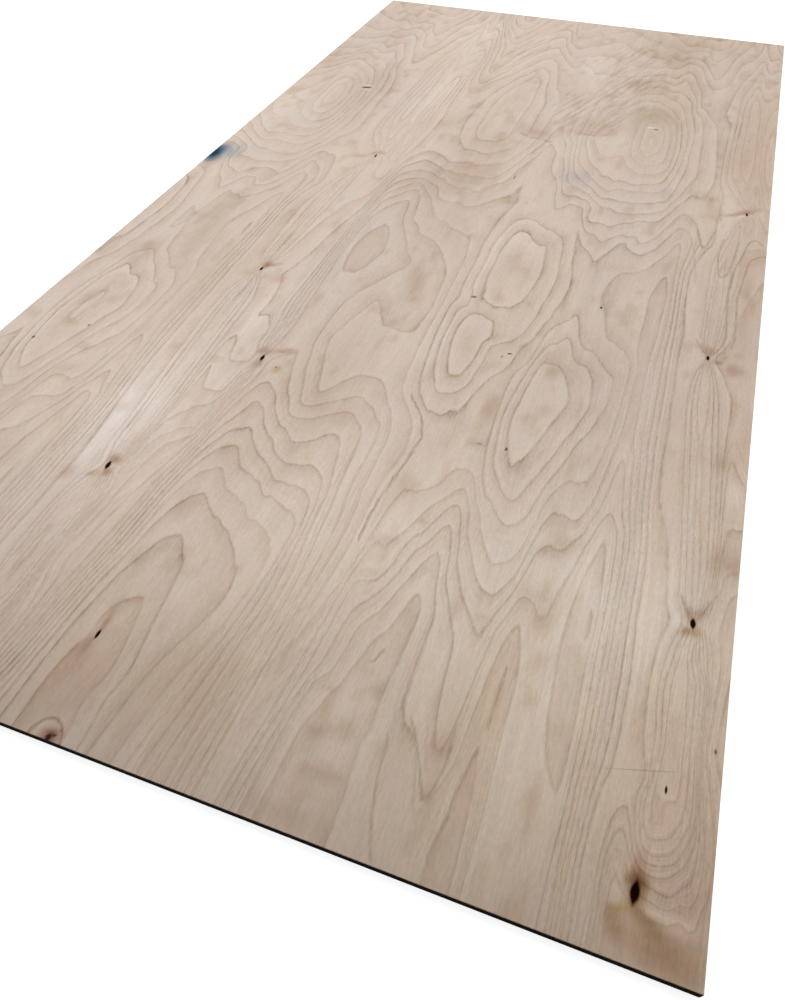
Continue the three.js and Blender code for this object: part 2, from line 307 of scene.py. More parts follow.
        (700, 543, 17.7), (900, 545, 16), (1220, 550, 13.6),
    ],
    "lens": [
        (-1220, 574, 10.4), (-1183, 572, 10.6), (-1170, 571, 11), (-1159, 571, 12), (-1147, 570, 13),
        (-1129, 570, 14), (-1120, 570, 15), (-1107, 570, 16), (-1085, 569, 17), (-1066, 564, 17.7),
        (-1050, 557, 18.3), (-1000, 555, 18.5), (-945, 554, 18.3), (-890, 557, 18.1), (-845, 562, 18),
        (-760, 556, 18), (-560, 542, 18), (-400, 533, 18.4), (-326, 532.5, 18.4), (-200, 532, 18.4),
        (-60, 534, 18), (60, 546, 17.6), (130, 557, 16.8), (175, 565, 16.4), (260, 560, 17.4),
        (430, 548, 18.6), (700, 552, 18.4), (900, 556, 16.6), (1220, 560, 14),
    ],
    "lensRight": [
        (-1220, 588, 10.4), (-1180, 588, 10.6), (-1165, 586, 11), (-1152, 586, 12), (-1130, 586, 13),
        (-1103, 586, 14), (-1085, 586, 15), (-1060, 585, 15.5), (-1000, 583, 15.3), (-930, 583, 15),
        (-890, 573, 14.85), (-845, 572, 14.85), (-815, 575, 14.9), (-760, 579, 15), (-560, 570, 15.4),
        (-420, 562, 15.4), (-370, 551, 15.3), (-340, 540, 15.3), (-326, 536.5, 15.3), (-300, 542, 15.4),
        (-260, 552, 15.4), (-60, 560, 16), (60, 564, 16), (130, 568, 15.4), (175, 570, 15.2),
        (215, 574, 15.6), (260, 578, 16.2), (430, 575, 17.6), (700, 578, 17.4), (900, 578, 15.6),
        (1220, 582, 13.2),
    ],
}

# Open knots: (across, along, width, length, lean). The hollow goes one ply deep.
openKnots = [
    (541, -1159, 8.6, 22.5, -3), (556.5, -1053.5, 2.2, 8, 2), (562, -845, 6.2, 15, 4),
    (-251, -857, 6, 16, 5), (532.5, -326, 4.6, 12, 0), (-279.5, -335, 4.4, 12.5, 1), (565, 175, 4.4, 12, 2),
    (-250, 165, 3.6, 16, 3), (-100, -1093, 3.6, 13, 0), (-156, -569, 5.4, 16, 2),
]

# Where the growth closes in on a branch: (across, along, strength, reach across, reach along).
pinches = [
    (562, -845, 0.4, 20, 24), (-251, -857, 0.8, 17, 26), (532.5, -326, 0.5, 20, 26),
    (-279.5, -335, 0.9, 20, 26), (565, 175, 0.8, 20, 22), (-250, 165, 0.9, 20, 22),
    (-156, -569, 1.2, 22, 28), (-100, -1093, 0.9, 16, 26), (121, -289, 1.2, 16, 16),
]

# Flat-topped swells in the growth: (across, along, rise in years, half width, half length).
swells = [
    (-600, 60, -0.8, 36, 60), (446, -887, -0.75, 6, 44),
]

# Lines that no whole ring gives, such as a ring that splits: strength, and points (across, along).
strokes = [
    (0.8, [(104, -572), (118, -592), (132, -606), (142, -628), (151, -658), (148, -690), (144, -725),
          (138, -770), (134, -815), (136, -860)]),
    (0.5, [(285, -1068), (298, -1090), (310, -1112), (318, -1132), (325, -1147), (331, -1136),
          (335, -1105), (334, -1060)]),
    (0.5, [(268, -1092), (275, -1150), (284, -1182), (296, -1216)]),
    (0.6, [(364, -1076), (357, -1110), (353, -1150), (347, -1200)]),
    (0.6, [(367, -975), (366, -1010), (366, -1050)]),
    (0.6, [(218, -1020), (224, -1012), (226, -1000)]),
    (0.6, [(558, 62), (554, 20), (549, -30), (543, -63), (535, -80), (528, -68), (524, -36), (523, 10),
          (528, 62)]),
    (0.7, [(539, -314), (546, -302), (553, -285), (556, -255), (553, -200), (550, -130), (553, -70),
          (559, -25), (566, 5), (571, 40), (576, 66), (585, 78), (594, 74), (601, 60)]),
    (0.6, [(612, 24), (600, 18), (588, 6), (580, -6), (576, -40), (571, -90), (567, -140), (568, -200),
          (571, -255), (567, -292)]),
    (0.7, [(476, 84), (483, 45), (489, 22), (494, 14), (499, 28), (504, 55), (508, 84)]),
    (0.4, [(470, 30), (478, 0), (485, -60), (491, -110)]),
    (0.5, [(509, -282), (518, -300), (527, -316)]),
    (0.6, [(544, -808), (549, -822), (556, -833)]),
    (0.7, [(584, -796), (577, -815), (570, -832)]),
    (0.9, [(-99, -1222), (-97, -1208), (-89, -1199), (-79, -1196), (-70, -1200), (-62, -1210),
          (-57, -1222)]),
]


# Slopes for a curve that never overshoots its points, along the last axis.
def calmSlopes(place, value):
    gap = np.diff(place, axis=-1)
    rise = np.diff(value, axis=-1) / gap
    before, after = rise[..., :-1], rise[..., 1:]
    weightA = 2 * gap[..., 1:] + gap[..., :-1]
    weightB = gap[..., 1:] + 2 * gap[..., :-1]
    same = before * after > 0
    safeA, safeB = np.where(same, before, 1), np.where(same, after, 1)
    slopes = np.zeros_like(value)
    slopes[..., 1:-1] = np.where(same, (weightA + weightB) / (weightA / safeA + weightB / safeB), 0)
    slopes[..., 0], slopes[..., -1] = rise[..., 0], rise[..., -1]
    return slopes


def curveBetween(share, gap, low, high, lowSlope, highSlope):
    s2, s3 = share ** 2, share ** 3
    return ((2 * s3 - 3 * s2 + 1) * low + (s3 - 2 * s2 + share) * gap * lowSlope
            + (3 * s2 - 2 * s3) * high + (s3 - s2) * gap * highSlope)


def followFold(along, place, value):
    slopes = calmSlopes(place, value)
    i = np.clip(np.searchsorted(place, along) - 1, 0, len(place) - 2)
    gap = place[i + 1] - place[i]
    share = np.clip((along - place[i]) / gap, 0, 1)
    return curveBetween(share, gap, value[i], value[i + 1], slopes[i], slopes[i + 1])


# How many years of growth the knife has crossed at each point of the face.
def ringCount(across, along):
    places, counts = [], []
    for turn in (-1, 0, 1):
        here = along - sheet["driftPerTurn"] * turn
        for fold in folds.values():
            points = np.array(fold, float)
            first, last = points[0] - (400, 0, 0), points[-1] + (400, 0, 0)    # runs on past both ends
            points = np.vstack([first, points, last])
            places.append(followFold(here, points[:, 0], points[:, 1]) + turn * sheet["peelTurn"])
            counts.append(followFold(here, points[:, 0], points[:, 2]) - turn * sheet["ringsPerTurn"])
    places, counts = np.array(places).T, np.array(counts).T
    slopes = calmSlopes(places, counts)
    total = np.zeros_like(across)
    for k in range(places.shape[1] - 1):
        gap = places[:, k + 1] - places[:, k]
        inside = (across >= places[:, k]) & (across < places[:, k + 1])
        share = (across - places[:, k]) / gap
        curve = curveBetween(share, gap, counts[:, k], counts[:, k + 1], slopes[:, k], slopes[:, k + 1])
        total = np.where(inside, curve, total)
    return total


# Smooth random hills over the sheet: size across, size along, and the seed of their lattice.
hillSizes = {
    "scallops": (34, 220, 12), "smallScallops": (13, 110, 13),
    "waver": (17, 140, 3), "slowWaver": (46, 80, 4),
    "broadBack": (260, 1500, 21), "narrowBack": (120, 600, 22),
    "lineStrength": (60, 260, 5), "spotEdge": (14, 60, 9),
    "broadCloud": (130, 380, 6), "cloud": (60, 420, 7), "narrowCloud": (24, 300, 8),
    "mottle": (26, 60, 14), "broadMottle": (60, 150, 15),
    "blotch": (15, 26, 10), "broadBlotch": (34, 50, 11),
}


# About -1 to 1.
def hills(across, along, name):
    sizeAcross, sizeAlong, seed = hillSizes[name]
    lattice = np.random.default_rng(seed).uniform(-1, 1, (256, 256))
    u, v = across / sizeAcross + 97.3, along / sizeAlong + 131.7    # well inside the lattice
    i, j = np.floor(u).astype(int), np.floor(v).astype(int)
    s, t = u - i, v - j
    s, t = s * s * (3 - 2 * s), t * t * (3 - 2 * t)
    i, j = i % 255, j % 255
    low = lattice[i, j] * (1 - s) + lattice[i + 1, j] * s
    high = lattice[i, j + 1] * (1 - s) + lattice[i + 1, j + 1] * s
    return low * (1 - t) + high * t


# The rings draw in towards each knot, so the growth is read further out there.
def drawnIn(across, along):
    drawn = across.copy()
    for x, y, strength, wide, long in pinches:
        dx, dy = across - x, along - y
        drawn += dx * strength * np.exp(-(dx / wide) ** 2 - (dy / long) ** 2)
    return drawn


# The fibres dip and rise, so rings that lie across them run in scallops, though not beside a knot.
fibreWaves = {
    "large": 11,          # mm
    "small": 5.5,
    "lostAtKnot": 0.9,    # share of them
    "knotReach": (34, 46),
    "years": 0.045,       # the rings' own small wavers
}


def brokenRings(across, along):
    wave = fibreWaves["large"] * hills(across, along, "scallops")
    wave += fibreWaves["small"] * hills(across, along, "smallScallops")
    reachAcross, reachAlong = fibreWaves["knotReach"]
    for x, y, width, length, lean in openKnots:
        u, v = (across - x) / reachAcross, (along - y) / (reachAlong + 1.2 * length)
        wave *= 1 - fibreWaves["lostAtKnot"] * np.exp(-u ** 2 - v ** 2)
    total = ringCount(drawnIn(across, along), along + wave)
    for x, y, rise, wide, long in swells:
        total += rise * np.exp(-(((across - x) / wide) ** 2 + ((along - y) / long) ** 2) ** 2)
    for name in ("waver", "slowWaver"):
        total += fibreWaves["years"] * hills(across, along, name)
    return total


# The back is plainer wood, with a broad straight figure and no knots. Its waves are in years.
backFigure = {"middle": 16, "yearWidth": 34, "broadWave": 5, "narrowWave": 2}


def backRings(across, along):
    straight = backFigure["middle"] + across / backFigure["yearWidth"]
    broad, narrow = hills(across, along, "broadBack"), hills(across, along, "narrowBack")
    return straight + backFigure["broadWave"] * broad + backFigure["narrowWave"] * narrow


# How far each point lies from the nearest stroke, with a sign for its side, and how strongly that shows.
def strokeGaps(across, along):
    tooFar, sideFade, endFade = 30.0, 11, 4    # mm
    gap, show = np.full(len(across), tooFar), np.zeros(len(across))
    for strength, places in strokes:
        for k in range(len(places) - 1):
            (x0, y0), (x1, y1) = places[k], places[k + 1]
            length = math.hypot(x1 - x0, y1 - y0)
            ux, uy = (x1 - x0) / length, (y1 - y0) / length
            far = (across - x0) * ux + (along - y0) * uy
            side = (across - x0) * uy - (along - y0) * ux
            over = np.maximum(np.maximum(-far, far - length), 0)
            here = np.hypot(side, over)
            nearer = here < abs(gap)
            gap[nearer] = np.copysign(here, side)[nearer]
            end = (far < 0) & (k == 0) | (far > length) & (k == len(places) - 2)
            shown = strength * np.exp(-(here / sideFade) ** 4)
            shown *= np.where(end, np.exp(-(over / endFade) ** 2), 1)
            show[nearer] = shown[nearer]
    return gap, show


# The two arcs of a lens: their radius, and how far each centre lies from the middle.
def lensArcs(width, length):
    halfWidth, halfLength = width / 2, length / 2
    radius = (halfWidth ** 2 + halfLength ** 2) / (2 * halfWidth)
    return radius, radius - halfWidth


# 1 on the rim of a lens of this width and length, less inside it, more outside.
def lensReach(across, along, width, length):
    radius, offset = lensArcs(width, length)
    square = np.maximum(across ** 2 + along ** 2, 1e-9)
    worst = 0
    for side in (-1, 1):
        dot = across * side * offset
        worst = np.maximum(worst, square / (dot + np.sqrt(dot ** 2 + square * (radius ** 2 - offset ** 2))))
    return worst


# From the far tip of a lens down the left arc to the near tip, then up the right arc.
def lensPoint(turnShare, width, length):
    radius, offset = lensArcs(width, length)
    reach = math.asin(length / 2 / radius)
    if turnShare < 0.5:
        angle = reach - 4 * reach * turnShare
        return -(radius * math.cos(angle) - offset), radius * math.sin(angle)
    angle = -reach + 4 * reach * (turnShare - 0.5)
    return radius * math.cos(angle) - offset, radius * math.sin(angle)


# Joins a loop of points to a new one, face by face, and gives the new loop back.
def nextLoop(shape, last, places, kind):
    start = len(shape["points"])
    shape["points"].extend(places)
    now = list(range(start, start + len(places)))
    for k in range(len(last)):
        n = (k + 1) % len(last)
        shape["faces"].append((last[k], last[n], now[n], now[k]))
        shape["kinds"].append(kind)
    return now


# An open knot takes a block of the grid. Loops of points lead from the block to its rim, as shares of the
# way, then down its walls, where each shrinks and drops by some of a ply, and to the middle of its floor.
knotLoops = {"toRim": (0.25, 0.48, 0.68, 0.84, 0.94, 1), "down": ((0.9, 0.3), (0.72, 0.7), (0.55, 1))}


def sinkKnot(shape, grid, free, xs, ys, knot):
    across, along, width, length, lean = knot
    wide, long = sheet["knotBlock"]
    half = wide // 2
    i, j = int(np.argmin(abs(xs - across))) - half, int(np.argmin(abs(ys - along))) - long // 2
    free[j:j + long, i:i + wide] = False
    # Round the block from the middle of its far side, leftwards first.
    block = [grid[j + long, i + k] for k in range(half, -1, -1)]
    block += [grid[j + k, i] for k in range(long - 1, -1, -1)] + [grid[j, i + k] for k in range(1, wide + 1)]
    block += [grid[j + k, i + wide] for k in range(1, long + 1)]
    block += [grid[j + long, i + k] for k in range(wide - 1, half, -1)]
    turn = math.radians(lean)
    rim = [lensPoint(k / len(block), width, length) for k in range(len(block))]
    rim = [(a * math.cos(turn) - b * math.sin(turn), a * math.sin(turn) + b * math.cos(turn)) for a, b in rim]
    outer = [shape["points"][k] for k in block]
    thick, ply = sheet["thickness"], sheet["thickness"] / sheet["plyCount"]
    last = block
    for share in knotLoops["toRim"]:
        last = nextLoop(shape, last, [(x + (across + a - x) * share, y + (along + b - y) * share, thick)
                                      for (x, y, z), (a, b) in zip(outer, rim)], "face")
    for shrink, drop in knotLoops["down"]:
        last = nextLoop(shape, last, [(across + a * shrink, along + b * shrink, thick - ply * drop)
                                      for a, b in rim], "face")
    shape["points"].append((across, along, thick - ply))
    for k in range(len(last)):
        shape["faces"].append((last[k], last[(k + 1) % len(last)], len(shape["points"]) - 1))
        shape["kinds"].append("face")


# Round the sheet: over the upper arris, down the plies and under the lower arris. Gives the grid's border
# points with the points under them.
def wrapEdges(shape, grid):
    arris, thick = sheet["arris"], sheet["thickness"]
    rows, columns = sheet["cellsAlong"], sheet["cellsAcross"]
    border = ([grid[j, 0] for j in range(rows, 0, -1)] + [grid[0, i] for i in range(columns)]
              + [grid[j, columns] for j in range(rows)] + [grid[rows, i] for i in range(columns, 0, -1)])
    outer = [shape["points"][k] for k in border]
    hair, bands = 0.01, 4
    lastX, lastY = sheet["width"] / 2 - arris - hair, sheet["length"] / 2 - arris - hair
    heights = [(arris, thick - arris - (thick - 2 * arris) * k / bands) for k in range(bands + 1)]
    last = border
    for grow, height in heights + [(0, 0)]:
        places = [(x + (math.copysign(grow, x) if abs(x) > lastX else 0),
                   y + (math.copysign(grow, y) if abs(y) > lastY else 0), height) for x, y, z in outer]
        last = nextLoop(shape, last, places, "face" if last is border else "edge")
    return dict(zip(border, last))


# The back has wider cells, and the ones at its border pick up the edge's points.
def layBack(shape, grid, under, xs, ys):
    stepX, stepY = sheet["backCellsEach"]
    columns, rows = sheet["cellsAcross"], sheet["cellsAlong"]
    for j in range(0, rows + 1, stepY):
        for i in range(0, columns + 1, stepX):
            if grid[j, i] not in under:
                under[grid[j, i]] = len(shape["points"])
                shape["points"].append((xs[i], ys[j], 0))
    for j in range(0, rows, stepY):
        for i in range(0, columns, stepX):
            near = range(0, stepX) if j == 0 else (0,)
            far = range(stepX, 0, -1) if j + stepY == rows else (stepX,)
            left = range(stepY, 0, -1) if i == 0 else (stepY,)
            right = range(0, stepY) if i + stepX == columns else (0,)
            loop = ([grid[j, i + k] for k in near] + [grid[j + k, i + stepX] for k in right]
                    + [grid[j + stepY, i + k] for k in far] + [grid[j + k, i] for k in left])
            shape["faces"].append(tuple(under[key] for key in reversed(loop)))
            shape["kinds"].append("back")


# One closed mesh: the face grid with the knots let into it, the four sawn edges and the back.
def sheetMesh():
    columns, rows = sheet["cellsAcross"], sheet["cellsAlong"]
    halfX, halfY = sheet["width"] / 2 - sheet["arris"], sheet["length"] / 2 - sheet["arris"]
    xs, ys = np.linspace(-halfX, halfX, columns + 1), np.linspace(-halfY, halfY, rows + 1)
    shape = {"points": [(x, y, sheet["thickness"]) for y in ys for x in xs], "faces": [], "kinds": []}
    grid = np.arange((columns + 1) * (rows + 1)).reshape(rows + 1, columns + 1)
    free = np.ones((rows, columns), bool)
    for knot in openKnots:
        sinkKnot(shape, grid, free, xs, ys, knot)
    for j, i in np.argwhere(free):
        shape["faces"].append((grid[j, i], grid[j, i + 1], grid[j + 1, i + 1], grid[j + 1, i]))
        shape["kinds"].append("face")
    layBack(shape, grid, wrapEdges(shape, grid), xs, ys)
    return np.array(shape["points"]), shape["faces"], shape["kinds"]


def linear(hexColour):
    parts = [int(hexColour[k:k + 2], 16) / 255 for k in (1, 3, 5)]
    return [p / 12.92 if p <= 0.04045 else ((p + 0.055) / 1.055) ** 2.4 for p in parts] + [1]


# Adds a node with its settings, or with the name of its operation, and links or sets its inputs in order.
def add(tree, kind, settings=None, inputs=()):
    node = tree.nodes.new("ShaderNode" + kind)
    if isinstance(settings, str):
        settings = {"operation": settings}
    for name, value in (settings or {}).items():
        setattr(node, name, value)
    pairs = inputs.items() if isinstance(inputs, dict) else enumerate(inputs)
    for key, value in pairs:
        if isinstance(value, bpy.types.Node):
            value = value.outputs[0]
        if isinstance(value, bpy.types.NodeSocket):
            tree.links.new(value, node.inputs[key])
        else:
            node.inputs[key].default_value = value
    return node


def newMaterial(name):
    material = bpy.data.materials.new(name)
    material.use_nodes = True
    tree = material.node_tree
    tree.nodes.clear()
    return material, tree


# What each tone multiplies the wood's colour by, in red, green and blue.
tones = {
    "brown": (0.885, 0.83, 0.785), "olive": (0.885, 0.845, 0.77), "pink": (0.94, 0.86, 0.84),
    "light": (1.06, 1.085, 1.11), "cool": (1.01, 1.05, 1.1), "blue": (0.84, 0.88, 0.97),
    "warm": (0.985, 0.93, 0.86), "paintedSheen": (1.1, 1.1, 1.1), "dim": (0.95, 0.95, 0.955),
    "rose": (0.97, 0.925, 0.95), "clear": (1.05, 1.075, 1.1), "green": (0.995, 1.02, 1.01),
    "umber": (0.62, 0.52, 0.42), "russet": (0.58, 0.42, 0.36), "blush": (1.14, 1.15, 1.2),
    "ink": (0.34, 0.48, 0.62), "gold": (0.86, 0.82, 0.62),
}

# Broad tones, mostly of the wood: (across, along, half width, half length, lean, strength). The "dim" and
# "clear" spots darken and lighten broad patches, and the spots marked as sheen below are painted light.
toneSpots = {
    "warm": [
        (640, 150, 150, 1150, 0, 1), (600, -1130, 170, 260, 0, 0.9), (250, -1050, 400, 300, 0, 0.4),
        (430, 1185, 70, 50, 0, 0.7),
    ],
    "dim": [
        (-570, 850, 90, 440, 0, 1.6), (-400, 300, 120, 900, 0, 0.5), (-72, -100, 90, 460, 0, 1.2),
        (568, -60, 72, 340, 0, 1.7), (78, -1050, 80, 100, 0, 1), (560, 650, 70, 300, 0, 0.8),
        (400, -440, 70, 90, 0, 0.9), (560, -260, 60, 80, 0, 0.7), (592, -1125, 26, 60, 0, 1.6),
        (255, 590, 110, 70, 0, 1.4), (464, 630, 36, 90, 0, 1.2), (30, 0, 36, 150, 0, 1.2),
        (-232, -595, 50, 60, 0, 0.5),
    ],
    "clear": [
        (330, -860, 190, 120, 0, 1.4), (560, -860, 60, 90, 0, 0.7), (235, -1050, 80, 90, 0, 0.6),
        (-236, 1050, 80, 150, 0, 0.8), (-350, -620, 260, 200, 0, 0.55), (560, -900, 90, 80, 0, 0.5),
        (-278, -690, 40, 95, 0, 1.1), (-300, -790, 44, 80, 0, 0.8), (-220, 1040, 20, 90, 0, 1.2),
        (-298, -705, 16, 48, 0, 0.9),
    ],
    "green": [
        (360, -1060, 330, 330, 0, 1),
    ],
    "light": [
        (395, -1090, 26, 110, 0, 0.9), (578, -347, 6, 7, 0, 1.2), (535, -720, 45, 140, 0, 0.9),
        (490, -930, 55, 170, 0, 0.9), (154, -65, 34, 120, 0, 0.9), (92, -425, 34, 75, 0, 0.9),
        (-525, 1075, 40, 60, 0, 1.2), (528, 60, 30, 230, 0, 0.8), (488, 180, 36, 90, 0, 0.8),
        (598, -140, 14, 110, 0, 0.9), (592, -615, 16, 30, 0, 0.9), (294, -1010, 9, 50, 0, 0.9),
        (-200, -630, 22, 40, 0, 0.5), (-84, -1080, 20, 26, 0, 0.6), (80, -860, 60, 110, 0, 0.7),
        # The light spot at (-310, -700) is a painted sheen.
        (405, -1040, 22, 140, 0, 0.6), (-310, -700, 100, 200, 0, 0.35), (-205, -380, 20, 110, 0, 0.9),
        (108, -150, 12, 110, 0, 0.8), (-15, -310, 36, 34, 0, 0.6), (606, -620, 20, 36, 0, 0.9),
        (425, -850, 26, 90, 0, 0.5), (-560, -600, 50, 80, 0, 0.5), (-580, 390, 26, 140, 0, 0.9),
        (-230, 520, 24, 140, 0, 0.8), (115, 870, 26, 110, 0, 0.8), (180, 350, 56, 76, 0, 0.5),
        (262, 420, 28, 36, 0, 0.8),
    ],
    # Painted sheen over the left and middle of the near half.
    "paintedSheen": [
        (-270, -780, 120, 230, 0, 0.5), (120, -800, 330, 190, 0, 0.5),
    ],
    "brown": [
        (0, -645, 60, 34, 0, 0.7), (288, -920, 7, 26, 0, 1), (588, -130, 9, 100, 0, 0.4),
        (584, -130, 8, 90, 0, 0.5), (600, -745, 18, 14, 0, 0.8), (574, -566, 8, 14, 0, 0.9),
        (215, -1156, 28, 9, 5, 1.5), (200, -1204, 44, 14, 0, 0.8), (238, -1050, 10, 9, 0, 1.3),
        (325, -1085, 14, 14, 0, 0.9), (326, -1140, 9, 14, 0, 1), (372, -870, 20, 12, 0, 0.8),
        (385, -788, 24, 9, 30, 0.9), (362, -1000, 12, 120, 0, 0.5), (365, -1140, 14, 70, 0, 0.6),
        (167, -850, 16, 5, 10, 0.9), (190, -1116, 11, 7, 0, 1.4), (235, -643, 12, 5, 0, 1),
        (228, -575, 10, 28, 0, 0.7), (308, -445, 14, 14, 0, 0.9), (358, -515, 6, 34, 0, 0.8),
        (-440, -700, 22, 12, 48, 0.9), (-448, -640, 14, 8, 0, 0.8), (-232, -505, 5, 22, 0, 0.9),
        (-297, -886, 7, 12, 0, 1.6), (-226, -597, 9, 7, 0, 1.2), (30, -447, 8, 14, 0, 0.9),
        (10, -275, 16, 62, 16, 1.3), (-90, -1165, 40, 60, 0, 0.25), (590, -1198, 40, 22, 0, 0.45),
        (-110, 80, 70, 60, 0, 0.7), (-20, 290, 60, 80, 0, 0.6), (30, -1130, 60, 80, 0, 0.5),
        (300, -420, 55, 34, 0, 0.5), (225, -400, 30, 24, 0, 0.4), (510, -650, 24, 110, 0, 0.5),
        (492, -480, 16, 90, 0, 0.4), (-520, -350, 30, 38, 0, 0.8), (-365, -420, 36, 110, 0, 0.5),
        (-90, -780, 46, 40, 0, 0.4), (320, -1080, 36, 60, 0, 0.5), (250, -800, 36, 60, 0, 0.35),
        (375, -880, 26, 36, 0, 0.5), (590, -740, 22, 26, 0, 0.9), (578, -347, 16, 17, 0, 0.9),
        (580, -555, 22, 22, 0, 0.7), (215, -1000, 56, 80, 0, 0.35), (350, -110, 40, 20, 0, 0.45),
        (62, 415, 42, 30, -20, 1), (190, 495, 56, 36, 0, 0.9), (265, 780, 60, 46, 0, 0.9),
        (400, 820, 36, 60, 0, 0.6), (330, 1000, 90, 56, 0, 0.8), (320, 800, 110, 330, 0, 0.45),
        (-400, 600, 64, 120, 0, 0.6), (-405, 430, 46, 110, 0, 0.4), (-500, 1080, 56, 60, 0, 0.5),
        (535, 440, 46, 120, 0, 0.5), (462, 232, 18, 16, 0, 0.9), (545, 915, 36, 10, 0, 0.7),
        (-140, 640, 22, 46, 0, 0.5),
    ],
    "olive": [
        (-120, -587, 7, 9, 0, 1.4), (372, -370, 60, 90, 0, 0.35), (-60, -570, 80, 90, 0, 0.4),
        (30, -1120, 60, 60, 0, 0.35), (218, -1030, 12, 8, 0, 0.7), (235, -985, 9, 24, 0, 0.6),
        (225, -1104, 13, 12, 0, 1.4), (320, -925, 12, 12, 0, 0.9), (168, -906, 14, 6, 12, 0.8),
        (206, -804, 6, 6, 0, 1.3), (-105, -1056, 6, 16, 0, 1), (-30, 150, 62, 60, 0, 1.1),
        (-90, -1100, 60, 90, 0, 0.5), (-450, -260, 22, 110, 4, 0.9), (-455, -145, 36, 50, 0, 0.5),
        (335, 600, 56, 50, 0, 1), (335, 1120, 90, 80, 0, 0.8), (-145, 380, 28, 26, 0, 0.5),
    ],
    "cool": [
        # The cool spot at (-285, -820) is a painted highlight.
        (-280, -430, 34, 70, 0, 1), (-528, 330, 50, 150, 0, 0.8), (-285, -820, 32, 80, 0, 0.8),
        (-260, -130, 30, 130, 0, 0.5), (592, 1000, 28, 90, 0, 0.8), (-310, 980, 34, 80, 0, 0.5),
        (-222, 760, 36, 170, 0, 0.7),
    ],
    "pink": [
        (208, -1178, 22, 9, 0, 0.9), (188, -1065, 9, 7, 0, 1.6), (188, -655, 10, 12, 0, 0.6),
        (110, -530, 6, 10, 0, 0.8), (-383, -575, 10, 30, 0, 0.5), (-92, -1038, 26, 5, 22, 0.8),
        (-92, -1146, 34, 40, 0, 0.6), (-130, -680, 46, 60, 0, 0.5), (440, -170, 26, 80, 0, 0.35),
        (225, 465, 26, 20, 0, 0.3), (70, 402, 38, 22, 0, 0.9), (150, 441, 36, 10, 0, 0.8),
        (204, 451, 32, 10, 0, 0.7), (-465, 880, 30, 66, 0, 0.6), (-595, 700, 22, 80, 0, 0.8),
    ],
    "rose": [
        (575, -1148, 34, 20, 0, 1),
    ],
    "blue": [
        (205, 215, 32, 32, 0, 1), (405, 215, 22, 22, 0, 0.7),
    ],
}

# Stains round the knots, on the same plan, over the figure.
knotSpots = {
    "umber": [
        (544, -1146, 9, 5.5, -20, 1.3), (546, -1158, 6, 11, 0, 1.1), (535, -1157, 5, 9, 0, 0.6),
        (560, -1192, 30, 16, -20, 0.32), (534, -1149, 6, 3.5, 25, 0.9), (555, -1180, 18, 6.5, -30, 0.9),
        (525, -1189, 8, 15, 28, 0.7), (568, -1206, 34, 14, -8, 0.42), (562, -834, 9, 13, 0, 0.4),
        (555, -831, 6, 11, 25, 0.5), (571, -826, 6, 14, -20, 0.45), (556, -858, 11, 5.5, 10, 0.95),
        (-244, -868, 7, 7, 30, 0.9), (-265, -880, 5, 4, 0, 0.6), (-243, -845, 7, 6, 0, 0.6),
        (532, -309, 12, 12, 0, 0.5), (552, -331, 6, 4.5, 10, 0.8), (559, -318, 4.5, 9, -10, 0.5),
        (497, -308, 9, 12, 0, 0.25), (545, -334, 8, 4.5, 10, 0.4), (535, 162, 17, 5, 22, 0.7),
        (-260, 175, 8, 6, 20, 0.6), (-282, 154, 20, 7, 18, 0.4), (-156, -584, 8, 10, 0, 0.6),
        (-74, -1216, 5, 5, 0, 1.5),
    ],
    "russet": [
        (541, -1135, 5, 10, 0, 0.5), (529, -1199, 8, 5, -8, 0.3), (577, -345, 12, 13, 0, 0.4),
        (-236, -355, 12, 13, 0, 0.4), (-252, -843, 7, 9, 0, 0.6), (516, -297, 9, 9, 40, 0.3),
        (-276, -320, 7, 12, 0, 0.8), (-264, -316, 14, 4, 30, 0.6), (565, 184, 12, 7, 10, 0.5),
        (551, 175, 13, 6, 36, 0.45), (578, 196, 16, 10, 30, 0.25), (-243, 184, 11, 9, 0, 0.35),
        (-100, -1078, 3.5, 18, 0, 0.6), (-104, -1110, 5, 12, 0, 0.5), (-160, -552, 12, 10, 0, 0.5),
        (-127, -541, 18, 6, 24, 0.6), (-74, -1215, 9, 8, 0, 1.5),
    ],
    "gold": [
        (529, -1177, 11, 5, 24, 1.1), (571, -856, 7, 6, 0, 1), (-254, -875, 9, 7, 0, 0.9),
        (-119, -589, 7, 9, 0, 0.9),
    ],
    "blush": [
        (577, -345, 6.5, 7, 0, 0.9), (-236, -355, 6.5, 7, 0, 0.9), (564, -1171, 20, 4, -10, 1.5),
        (590, -1175, 14, 6, 6, 1.4), (524, -1165, 7, 8, 0, 1), (546, -845, 6, 14, 0, 1),
        (577, -850, 5, 14, 0, 0.8), (-239, -862, 6, 14, 0, 1), (552, 163, 15, 5, 30, 1.2),
        (590, 184, 9, 14, 0, 0.8), (-74, -1212, 15, 17, 0, 0.5),
    ],
    "ink": [
        (-604, 56, 13, 34, 6, 2.6), (-598, 66, 20, 40, 0, 0.9), (-580, 78, 40, 40, 0, 0.28),
    ],
}

# Where the rings show faintly: (across, along, half width, half length, share of the strength left).
faintSpots = [
    (-238, 930, 30, 220, 0.4), (-262, 600, 46, 210, 0.5), (88, 970, 38, 200, 0.4), (572, 235, 46, 130, 0.3),
    (-242, 235, 56, 150, 0.3), (565, -900, 62, 520, 0.6), (570, 100, 70, 500, 0.7),
    (215, -1120, 50, 130, 0.4), (350, -1130, 60, 110, 0.55), (60, -1180, 90, 80, 0.85),
    (-330, -970, 80, 150, 0.7), (-240, -1010, 60, 90, 0.75), (545, -1200, 70, 34, 0.3),
]

